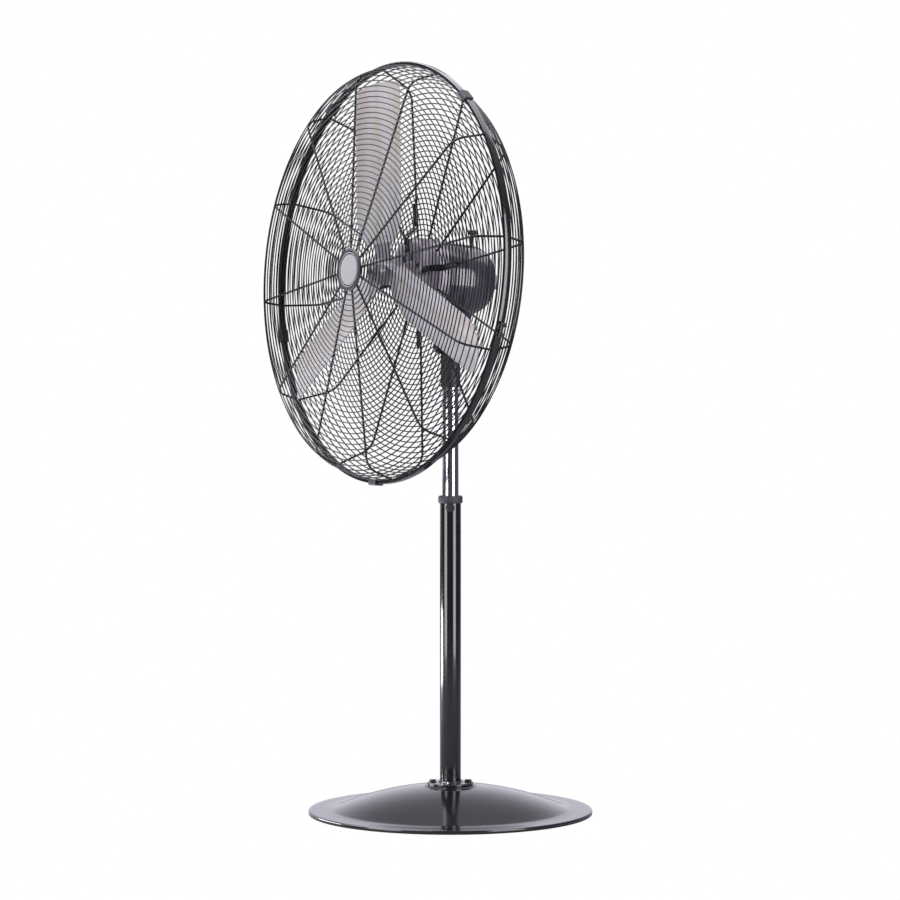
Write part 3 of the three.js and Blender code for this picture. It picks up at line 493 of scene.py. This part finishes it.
def dome_line(inset, steps):
    """Radius and height from the brim's edge to the axis: a flat brim, a hollow fillet, then the cap of a
    sphere through the dome's foot and top, lowered by the inset."""
    foot = BASE_RADIUS - BRIM_WIDTH
    drop = DOME_HEIGHT - BRIM_HEIGHT
    sphere = (foot**2 + drop**2) / (2 * drop)
    radius = np.linspace(foot, PAD_RADIUS, steps)
    height = DOME_HEIGHT - sphere + np.sqrt(sphere**2 - radius**2) - inset
    # The fillet raises the foot smoothly on both sides of it.
    reach, rise = 26, 1.3
    lift = np.clip(1 - (foot - radius) / reach, 0, 1) ** 2 * rise
    line = [(foot + reach * t, BRIM_HEIGHT - inset + rise * (1 - t) ** 2) for t in np.linspace(1, 0.1, 8)]
    line += list(zip(radius, height + lift))
    top = DOME_HEIGHT - inset
    return [*line, (PAD_RADIUS - 2.5, top - 0.4), (PAD_RADIUS - 5, top), (0, top)]


def add_base():
    """The pressed base: dome line outside, the same line a wall thickness down inside, and a rolled edge."""
    outside = dome_line(0, 40)
    inside = dome_line(BASE_WALL, 40)[::-1]
    edge = rounded(
        [
            (BASE_RADIUS - 14, BRIM_HEIGHT - BASE_WALL),
            (BASE_RADIUS - 5, BRIM_HEIGHT - BASE_WALL, 0.5),
            (BASE_RADIUS - 5, 0, 1.2),
            (BASE_RADIUS, 0, 1.5),
            (BASE_RADIUS, BRIM_HEIGHT, 3.2),
            (BASE_RADIUS - 14, BRIM_HEIGHT),
        ],
        5,
        closed=False,
    )
    profile = [*inside, *edge, *outside]
    add_piece("base_plate_shell", turned(profile, 192), on_stand, "stand", "black_enamel", "base_plate")


def add_flange():
    """The flange disc with its weld bead round the pole, and four washered bolts."""
    bore = POLE_RADIUS + 0.3
    disc = [
        (bore, FLANGE_LOW),
        (FLANGE_RADIUS, FLANGE_LOW, 0.6),
        (FLANGE_RADIUS, FLANGE_HIGH, 1.4),
        (bore + 4.2, FLANGE_HIGH, 1.2),
        (bore + 1.6, FLANGE_HIGH + 2.6, 1.2),
        (bore, FLANGE_HIGH + 3),
    ]
    surface = turned(rounded(disc, 4), 96)
    points = surface[0]
    # The bead ripples by 0.25 mm every 6 degrees.
    bead = points[:, 2] > FLANGE_HIGH + 0.2
    angle = np.arctan2(points[bead, 1], points[bead, 0])
    points[bead, 2] += 0.25 * np.sin(60 * angle)
    add_piece("flange_disc", surface, on_stand, "stand", "black_enamel", "pole_flange")
    for i in range(4):
        angle = math.radians(FLANGE_BOLT_TURN + 90 * i)
        x, y = FLANGE_BOLT_CIRCLE * math.cos(angle), FLANGE_BOLT_CIRCLE * math.sin(angle)
        head = moved(spread(bolt_head(6.8, 5.1, 8.2), 20 * i), x, y, FLANGE_HIGH)
        bolt = f"flange_bolt_{i + 1}"
        add_piece(f"flange_bolt_head_{i + 1}", head, on_stand, "stand", "black_enamel", bolt)


def add_pole():
    """The outer tube, its clamping collar and the height screw."""
    inner = POLE_RADIUS - POLE_WALL
    wall = [(inner, POLE_LOW), (POLE_RADIUS, POLE_LOW, 0.4)]
    wall += [(POLE_RADIUS, POLE_TOP, 0.8), (inner, POLE_TOP, 0.8)]
    add_piece("pole_tube", turned(rounded(wall, 3), 96), on_stand, "stand", "black_enamel", "outer_pole")
    top, outer, mouth = COLLAR_TOP, POLE_RADIUS + 3.5, TUBE_RADIUS + 0.6
    collar = [
        (POLE_RADIUS + 0.3, top - 15, 0.4),
        (outer - 0.8, top - 15, 0.6),
        (outer, top - 11, 0.6),
        (outer, top - 3, 1.5),
        (outer - 2.2, top, 1.2),
        (mouth, top, 0.8),
        (mouth, POLE_TOP + 0.3),
        (POLE_RADIUS + 0.3, POLE_TOP + 0.3),
    ]
    collar = turned(rounded(collar, 4), 96)
    add_piece("collar_ring", collar, on_stand, "stand", "collar_plastic", "pole_collar")
    azimuth = math.radians(SCREW_AZIMUTH)
    out = (math.sin(azimuth), -math.cos(azimuth), 0)
    right = (math.cos(azimuth), math.sin(azimuth), 0)
    seat = POLE_RADIUS + 0.4
    shank = turned([(0, -4), (4, -4), (4, 2.2), (0, 2.2)], 24)
    place = np.array([0, 0, SCREW_HEIGHT]) + seat * np.array(out)
    screw = aimed(joined(shank, moved(bolt_head(8, 6.6, 9), z=0.2)), right, (0, 0, 1), out, place)
    add_piece("height_screw_head", screw, on_stand, "height_screw", "black_plastic", "height_screw")


# ---- Mast ----
def add_mast():
    """The chromed sliding tube."""
    low, high = (corner[2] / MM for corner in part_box("inner_tube"))
    inner = TUBE_RADIUS - TUBE_WALL
    wall = [(inner, low, 0.5), (TUBE_RADIUS, low, 0.5), (TUBE_RADIUS, high, 0.5), (inner, high, 0.5)]
    add_piece("chrome_tube", turned(rounded(wall, 3), 96), on_stand, "mast", "chrome", "inner_tube")


# ---- Motor ----
POD_RADIUS = 70
POD_WALL = 3
POD_REAR, POD_FRONT = -76.5, 53.2
REAR_ROUND = 45
BELL_RADIUS = 76
BELL_FRONT = 108.5
VENTS = 8
ARM_BOLT_CIRCLE = 54


def add_motor():
    """The rounded rear shell with a rolled front lip, and the front bell with its steps and vents."""
    middle = (POD_RADIUS - REAR_ROUND, POD_REAR + REAR_ROUND)
    round_end, inner_end = (
        [(middle[0] + radius * math.sin(a), middle[1] - radius * math.cos(a)) for a in np.linspace(*ends, 25)]
        for radius, ends in ((REAR_ROUND, (0, math.pi / 2)), (REAR_ROUND - POD_WALL, (math.pi / 2, 0)))
    )
    shell = [
        (0, POD_REAR),
        *round_end,
        (POD_RADIUS, POD_FRONT - 1),
        (POD_RADIUS - 0.6, POD_FRONT),
        (POD_RADIUS - POD_WALL, POD_FRONT),
        *inner_end,
        (0, POD_REAR + POD_WALL),
    ]
    add_piece("motor_shell", turned(shell, 144), on_fan, "head", "motor_enamel", "motor_rear_cover", sharp=40)
    low, front = POD_FRONT + 0.3, BELL_FRONT
    bell = [
        (72, low),
        (BELL_RADIUS, low, 0.8),
        (BELL_RADIUS, low + 8, 0.5),
        (BELL_RADIUS - 1.2, low + 8.6, 0.4),
        (BELL_RADIUS - 1.2, front - 11, 3),
        (BELL_RADIUS - 4, front - 4, 3),
        (BELL_RADIUS - 11, front, 3),
        (50, front, 1),
        (48, front - 1, 1),
        (27, front - 1, 1),
        (25, front, 1),
        (8.6, front, 0.5),
        (8.6, front - 5),
        (17, front - 5),
        (17, front - 15),
        (22, front - 15),
        (22, front - 4),
        (64, front - 4),
        (72, front - 12),
    ]
    outline = rounded([(28, -4, 3.8), (44, -4, 3.8), (44, 4, 3.8), (28, 4, 3.8)], 5)
    slot = extruded(outline, front - 8, front + 2)
    slots = [spread(slot, SPOKE_TURN + 360 * (i + 0.5) / VENTS) for i in range(VENTS)]
    cast = pierced(turned(rounded(bell, 4), 144), *slots)
    add_piece("motor_bell", cast, on_fan, "head", "cast_grey", "motor_front_bell")


# ---- Guard ----
BAND_FORWARD = 156
GUARD_RADIUS = 415
SPOKES = 12
SPOKE_TURN = 8
SPOKE_WIRE = 2.2
RING_WIRE = 1.25
RING_PITCH = 10.4
RIM = (409.2, 3.2)
CLOSURE_TURN = -16
CLOSURE_GAP = 16
CLIP_TURNS = (53, 125, 197, 269)
FRONT_DISH = (RIM, (388, 60, 22), (34, 84))
REAR_DISH = (RIM, (373, 69, 22), (77, 74))


def dish_line(dish):
    """The dish's outline from rim to hub as [radius, distance], and the length along it to each point."""
    line = rounded(dish, 10, closed=False)
    length = np.concatenate([[0], np.cumsum(np.linalg.norm(np.diff(line, axis=0), axis=1))])
    return line, length


def wire_half(dish, side):
    """Twelve spokes along the outline, and rings a pitch apart laid on their outer side."""
    line, length = dish_line(dish)
    steps = np.linspace(0, length[-1], 64)
    spoke = np.column_stack([np.interp(steps, length, line[:, k]) for k in (0, 1)])
    path = np.column_stack([spoke[:, 0], 0 * steps, BAND_FORWARD + side * spoke[:, 1]])
    section = circle(SPOKE_WIRE, 8)
    parts = [spread(swept(path, section, (0, 1, 0)), SPOKE_TURN + 360 * i / SPOKES) for i in range(SPOKES)]
    count = round((length[-1] - 6) / RING_PITCH)
    wire = circle(RING_WIRE, 6)

    def at(step):
        return np.array([np.interp(step, length, line[:, k]) for k in (0, 1)])

    for step in np.linspace(0, length[-1] - 4, count + 1)[1:]:
        radius, distance = at(step)
        # Rings stand outside the spokes: forwards on the face, outwards on the wall.
        slope = at(step + 1) - at(step - 1)
        out = unit([slope[1], -slope[0]]) * 1.8
        parts.append(ring(radius + out[0], BAND_FORWARD + side * (distance + out[1]), wire))
    parts.append(ring(RIM[0], BAND_FORWARD + side * (RIM[1] - 0.1), circle(2.3, 8)))
    return joined(*parts)


def add_guards():
    add_piece("front_wires", wire_half(FRONT_DISH, 1), on_fan, "head", "black_wire", "front_guard", sharp=60)
    add_piece("rear_wires", wire_half(REAR_DISH, -1), on_fan, "head", "black_wire", "rear_guard", sharp=60)


def band_path(start, end, count):
    """Points along the band's circle between two angles in degrees."""
    angle = np.radians(np.linspace(start, end, count))
    x, y = GUARD_RADIUS * np.cos(angle), GUARD_RADIUS * np.sin(angle)
    return np.column_stack([x, y, np.full(count, BAND_FORWARD)])


def add_band():
    """The band is a rolled channel, open inwards: a web with two lips that hold the rims. Its ends stop a
    short gap apart, where each carries a lug for the clamping screw."""
    half = 6.5
    section = [
        (-half, -7, 0.4),
        (-half + 1, -7, 0.4),
        (-half + 1, -1.6, 0.6),
        (half - 1, -1.6, 0.6),
        (half - 1, -7, 0.4),
        (half, -7, 0.4),
        (half, 0, 1.6),
        (-half, 0, 1.6),
    ]
    gap = math.degrees(CLOSURE_GAP / 2 / GUARD_RADIUS)
    path = band_path(CLOSURE_TURN + gap, CLOSURE_TURN + 360 - gap, 241)
    web = swept(path, rounded(section, 3), (0, 0, 1))
    # Each lug is a plate standing out of the web, its hole filled by the screw.
    lug_height = 14
    corners = [(-half, -1), (half, -1), (half, lug_height, 4), (-half, lug_height, 4)]
    plate = extruded(rounded(corners, 5), -1.5, 1.5, 0.5)
    across = (0, 0, 1), (1, 0, 0), (0, 1, 0)
    lugs = [
        spread(aimed(plate, *across, (GUARD_RADIUS - 0.5, y, BAND_FORWARD)), CLOSURE_TURN)
        for y in (CLOSURE_GAP / 2, -CLOSURE_GAP / 2)
    ]
    add_piece("guard_hoop", joined(web, *lugs), on_fan, "head", "black_enamel", "guard_band")
    seat, radius = CLOSURE_GAP / 2 + 1.9, GUARD_RADIUS + lug_height / 2
    head = joined(bolt_head(5, 4), turned([(0, -20), (2.4, -20), (2.4, 0.6), (0, 0.6)], 20))
    screw = spread(aimed(head, *across, (radius, seat, BAND_FORWARD)), CLOSURE_TURN)
    add_piece("closure_screw", screw, on_fan, "head", "black_plastic", "band_screw")
    nut = aimed(bolt_head(5, 4), (0, 0, 1), (-1, 0, 0), (0, -1, 0), (radius, -seat, BAND_FORWARD))
    add_piece("closure_nut", spread(nut, CLOSURE_TURN), on_fan, "head", "black_plastic", "band_nut")


def add_clips():
    """Four folded clips, each a C over the band's back and down both rims, with rounded corners."""
    rim, back, jaw, outer = -8.5, 0.3, 6.8, 9.8
    section = [
        (-jaw, rim),
        (-jaw, back),
        (jaw, back),
        (jaw, rim),
        (outer, rim, 0.8),
        (outer, back + 3, 2.4),
        (-outer, back + 3, 2.4),
        (-outer, rim, 0.8),
    ]
    reach = math.degrees(12.5 / GUARD_RADIUS)
    for i, turn in enumerate(CLIP_TURNS):
        strip = swept(band_path(turn - reach, turn + reach, 9), rounded(section, 4)[::-1], (0, 0, 1))
        add_piece(f"folded_clip_{i + 1}", strip, on_fan, "head", "collar_plastic", f"guard_clip_{i + 1}")


def add_arms():
    """Four flat straps bent from the bell's face up on to the rear wires."""
    on_bell, over_wires = BELL_FRONT + 1.8, BAND_FORWARD - 73.8 + 4.6
    corners = [(46, on_bell), (78, on_bell, 8), (94, over_wires, 8), (145, over_wires + 0.9)]
    line = rounded(corners, 6, closed=False)
    section = rounded([(-6.5, -1.5, 0.6), (6.5, -1.5, 0.6), (6.5, 1.5, 0.6), (-6.5, 1.5, 0.6)], 2)
    strap = swept(np.column_stack([line[:, 0], 0 * line[:, 0], line[:, 1]]), section, (0, 1, 0))
    for i in range(4):
        turn = SPOKE_TURN + 90 * i
        arm = f"guard_arm_{i + 1}"
        add_piece(f"mount_strap_{i + 1}", spread(strap, turn), on_fan, "head", "black_enamel", arm)
        head = spread(moved(bolt_head(5, 4.4, 6.2), ARM_BOLT_CIRCLE, 0, BELL_FRONT + 3.6), turn)
        add_piece(f"strap_bolt_{i + 1}", head, on_fan, "head", "zinc_steel", f"arm_bolt_{i + 1}")


def add_badge():
    """A moulded ring, a thin pale trim ring in its groove, and a slightly domed disc, left plain."""
    low = BAND_FORWARD + 84 + 2.5 + 0.3
    shell = [
        (0, low),
        (42.5, low, 1),
        (42.5, low + 2.6, 1.5),
        (39.5, low + 4.5, 1.5),
        (36.6, low + 4.6, 0.5),
        (36.0, low + 2.6, 0.4),
        (30.3, low + 2.6, 0.3),
        (30.3, low + 1.8),
        (0, low + 1.8),
    ]
    bezel = turned(rounded(shell, 3, closed=False), 96)
    add_piece("badge_bezel", bezel, on_fan, "head", "black_plastic", "badge_ring")
    trim = [(32.6, low + 2.4), (34.2, low + 2.4), (34.2, low + 4.4, 0.4), (32.6, low + 4.4, 0.4)]
    trim = rounded(trim, 3)
    add_piece("badge_trim", turned(trim, 96), on_fan, "head", "grey_plastic")
    disc = [(0, low + 2.0), (30, low + 2.0, 0.3), (30, low + 3.6, 0.5), (24, low + 4.0, 3), (0, low + 4.2)]
    face = turned(rounded(disc, 3, closed=False), 96)
    add_piece("badge_face", face, on_fan, "head", "grey_plastic", "badge_disc")


# ---- Rotor ----
BLADE_FORWARD = 175
BLADE_ANGLES = (96, 216, 336)
HALF_CHORD = 56
BLADE_ROOT, BLADE_TIP = 58, 381
PITCH = 18
CAMBER = 8
SHEET_HALF = 1  # half the sheet's thickness


def cambered(y):
    """The camber's height across the blade: camber ((y / half chord)^2 - 1)."""
    return CAMBER * ((y / HALF_CHORD) ** 2 - 1)


def pitched(surface, angle):
    """A surface built along +X, turned by the blades' pitch about X, then to its angle about the fan axis."""
    a = math.radians(PITCH)
    turn = np.array([[1, 0, 0], [0, math.cos(a), math.sin(a)], [0, -math.sin(a), math.cos(a)]])
    return moved(spread((np.asarray(surface[0], float) @ turn, surface[1]), angle), z=BLADE_FORWARD)


def edge_line(corners, count):
    """A rounded line resampled at even steps of its length."""
    line = rounded(corners, 12, closed=False)
    length = np.concatenate([[0], np.cumsum(np.linalg.norm(np.diff(line, axis=0), axis=1))])
    steps = np.linspace(0, length[-1], count)
    return np.column_stack([np.interp(steps, length, line[:, k]) for k in (0, 1)])


def blade_sheet(rows=72, columns=24):
    """A patch between four edges: each point is the blend of the two long edges plus the blend of root and
    tip, less the blend of the corners. It is cambered with its hollow side forward."""
    h = HALF_CHORD
    reach = math.sqrt(BLADE_TIP**2 - h**2)
    root_half, shoulder = 0.62 * h, BLADE_ROOT + 40
    low = [(BLADE_ROOT, -root_half), (shoulder, -h, 14), (reach - 14, -h, 10), (reach - 4, -h + 6)]
    high = [(BLADE_ROOT, root_half), (shoulder, h, 14), (reach - 22, h, 14), (reach - 8, h - 9)]
    low, high = edge_line(low, rows), edge_line(high, rows)
    root = edge_line([low[0], high[0]], columns)
    tip = [low[-1], (BLADE_TIP - 2, -0.5 * h, 14), (BLADE_TIP - 1, 0.35 * h, 16), high[-1]]
    tip = edge_line(tip, columns)
    u = np.linspace(0, 1, rows)[:, None, None]
    v = np.linspace(0, 1, columns)[None, :, None]
    plan = (1 - v) * low[:, None] + v * high[:, None] + (1 - u) * root[None] + u * tip[None]
    near_corners = (1 - u) * (1 - v) * low[0] + (1 - u) * v * high[0]
    plan = plan - (near_corners + u * (1 - v) * low[-1] + u * v * high[-1])
    z = cambered(plan[..., 1])
    front = np.dstack([plan, z + SHEET_HALF]).reshape(-1, 3)
    back = np.dstack([plan, z - SHEET_HALF]).reshape(-1, 3)
    faces = quads(rows, columns).tolist()
    count = rows * columns
    border = (
        [i * columns for i in range(rows)]
        + [(rows - 1) * columns + k for k in range(1, columns)]
        + [i * columns + columns - 1 for i in range(rows - 2, -1, -1)]
        + [k for k in range(columns - 2, 0, -1)]
    )
    # The grid runs out along +X and then across along +Y, so its plain quads face backwards.
    sides = [[a, b, b + count, a + count] for a, b in zip(border, border[1:] + border[:1])]
    behind = [[corner + count for corner in face] for face in faces]
    faces = [face[::-1] for face in faces] + behind + [side[::-1] for side in sides]
    return np.concatenate([front, back]), faces


def add_rotor():
    """The cast boss with three arms, the nut, and three riveted blades."""
    boss_low, boss_high = BLADE_FORWARD - 28, BLADE_FORWARD + 14
    boss = [(8.3, boss_low, 0.5), (24, boss_low, 1.5), (24, boss_high, 2), (8.3, boss_high, 0.8)]
    arm_top = -CAMBER - 1.3
    outline = rounded([(12, -19), (100, -19, 12), (112, -8, 6), (112, 8, 6), (100, 19, 12), (12, 19)], 5)
    arm = extruded(outline, arm_top - 4, arm_top, 0.5)
    arms = [pitched(arm, angle) for angle in BLADE_ANGLES]
    spider = joined(turned(rounded(boss, 4), 72), *arms)
    add_piece("spider", spider, on_fan, "rotor", "zinc_steel", "blade_spider")
    nut = moved(bolt_head(12, 7.2), z=boss_high + 0.3)
    add_piece("axle_nut", nut, on_fan, "rotor", "zinc_steel", "spider_nut")
    sheet = blade_sheet()
    rivet = [(0, -1), (3.6, -1), (3.6, 0.4, 0.4), (2, 2.2, 1), (0, 2.4)]
    rivet = turned(rounded(rivet, 3, closed=False), 20)
    places = [(72, -11), (72, 11), (100, -11), (100, 11)]
    for i, angle in enumerate(BLADE_ANGLES):
        flat = sheet[0][:, :2] * MM + [0, 0.3 * i]
        blade, name = pitched(sheet, angle), f"blade_{i + 1}"
        add_piece(f"blade_sheet_{i + 1}", blade, on_fan, "rotor", "blade_aluminium", name, sheet=flat)
        rivets = [moved(rivet, x, y, cambered(y) + SHEET_HALF) for x, y in places]
        add_piece(f"blade_rivets_{i + 1}", pitched(joined(*rivets), angle), on_fan, "rotor", "zinc_steel")


# ---- Studio ----
def add_camera():
    """A long lens on the fan's front right, at the height of the neck and looking slightly down."""
    azimuth, distance, height = math.radians(56.43), 5.907, 0.891
    aside, down = 0.00085, 1.59
    camera = bpy.data.objects.new("camera", bpy.data.cameras.new("camera"))
    camera.data.sensor_width, camera.data.lens = 36, 118.36
    camera.data.clip_end = 100
    camera.location = (
        distance * math.sin(azimuth) - aside * math.cos(azimuth),
        -distance * math.cos(azimuth) - aside * math.sin(azimuth),
        height,
    )
    camera.rotation_euler = (math.radians(90 - down), 0, azimuth)
    bpy.context.scene.collection.objects.link(camera)
    bpy.context.scene.camera = camera


def away_from_front(azimuth, distance, height=0.0):
    """A place at an azimuth in degrees, measured from -Y towards +X."""
    angle = math.radians(azimuth)
    return np.array([distance * math.sin(angle), -distance * math.cos(angle), height])


def add_light(name, place, size, power, aim):
    """A soft rectangular light."""
    light = bpy.data.objects.new(name, bpy.data.lights.new(name, "AREA"))
    light.data.shape = "RECTANGLE"
    light.data.size, light.data.size_y = size
    light.data.energy = power
    light.data.color = linear("#fbf8ff")[:3]
    light.location = place
    light.visible_camera = False
    way = np.asarray(aim, float) - place
    tip = math.atan2(math.hypot(way[0], way[1]), -way[2])
    light.rotation_euler = (tip, 0, math.atan2(way[1], way[0]) - math.pi / 2)
    bpy.context.scene.collection.objects.link(light)


def add_room():
    """A dim room whose ceiling is soft and light, with a pale wall behind the fan that is brightest low down
    and reaches further round on one side than on the other."""
    world = bpy.data.worlds.new("room")
    bpy.context.scene.world = world
    world.use_nodes = True
    tree = world.node_tree
    tree.nodes.clear()
    direction = add_node(tree, "ShaderNodeTexCoord").outputs["Generated"]

    def along(way):
        made = add_node(tree, "ShaderNodeVectorMath", {0: direction, 1: way}, operation="DOT_PRODUCT")
        return made.outputs["Value"]

    def eased(value, start, end, low, high):
        inputs = {"Value": value, "From Min": start, "From Max": end, "To Min": low, "To Max": high}
        return add_node(tree, "ShaderNodeMapRange", inputs, interpolation_type="SMOOTHSTEP").outputs[0]

    def combined(operation, first, second=0.0):
        return add_node(tree, "ShaderNodeMath", {0: first, 1: second}, operation=operation).outputs[0]

    wall = away_from_front(SCREW_AZIMUTH + 180, 1)
    aside = away_from_front(SCREW_AZIMUTH + 90, 1)
    height = along((0, 0, 1))
    ended = eased(along(aside), 0.25, 0.6, 1.0, 0.0)
    lit = combined("MULTIPLY", eased(along(wall), 0.4, 0.65, 0.0, 1.0), ended)
    wall_light = combined("MULTIPLY", lit, eased(height, 0.1, 0.6, 0.95, 0.42))
    ceiling = eased(height, 0.3, 0.9, 0.12, 0.55)
    strength = combined("MAXIMUM", wall_light, ceiling)
    shone = {"Color": linear("#f4f1ff"), "Strength": strength}
    inputs = {
        0: add_node(tree, "ShaderNodeLightPath").outputs["Is Camera Ray"],
        1: add_node(tree, "ShaderNodeBackground", shone).outputs[0],
        2: add_node(tree, "ShaderNodeBackground", {"Color": linear("#ffffff"), "Strength": 1.0}).outputs[0],
    }
    mixed = add_node(tree, "ShaderNodeMixShader", inputs).outputs[0]
    add_node(tree, "ShaderNodeOutputWorld", {"Surface": mixed})


def add_floor():
    """A plain pale floor, white to the camera, so that it runs into the room behind it."""
    half = 30.0
    corners = [(-half, -half, 0), (half, -half, 0), (half, half, 0), (-half, half, 0)]
    mesh = bpy.data.meshes.new("floor")
    mesh.from_pydata(corners, [], [(0, 1, 2, 3)])
    floor = bpy.data.objects.new("floor", mesh)
    bpy.context.scene.collection.objects.link(floor)
    material = bpy.data.materials.new("pale_floor")
    material.use_nodes = True
    tree = material.node_tree
    tree.nodes.clear()
    inputs = {
        0: add_node(tree, "ShaderNodeLightPath").outputs["Is Camera Ray"],
        1: add_node(tree, "ShaderNodeBsdfDiffuse", {"Color": linear("#8c8c90")}).outputs[0],
        2: add_node(tree, "ShaderNodeEmission", {"Color": linear("#ffffff"), "Strength": 1.0}).outputs[0],
    }
    mixed = add_node(tree, "ShaderNodeMixShader", inputs).outputs[0]
    add_node(tree, "ShaderNodeOutputMaterial", {"Surface": mixed})
    mesh.materials.append(material)


def add_studio():
    """A low soft box facing the fan, a tall one at its side, soft lights high and low in front, and a small
    one close above the motor."""
    add_light("front_box", away_from_front(4, 2.5, 0.55), (1.25, 1.06), 24, (0, 0, 0.55))
    add_light("side_box", away_from_front(102, 2.5, 1.17), (1.25, 2.3), 52, (0, 0, 1.17))
    add_light("top_light", away_from_front(-40, 2.0, 3.6), (3.4, 3.4), 230, (0, 0, 1.0))
    add_light("low_light", away_from_front(-50, 1.4, 0.2), (0.8, 0.3), 16, (0, 0, 1.1))
    add_light("head_light", away_from_front(180, 0.55, 1.85), (0.9, 0.9), 4, (0, 0, 1.07))
    # Plain sRGB output, so that the finishes keep the colours they are given.
    bpy.context.scene.view_settings.view_transform = "Standard"


add_camera()
add_room()
add_floor()
add_studio()
finish_cad_nodes()
add_base()
add_flange()
add_pole()
add_mast()
add_motor()
add_guards()
add_band()
add_clips()
add_arms()
add_badge()
add_rotor()
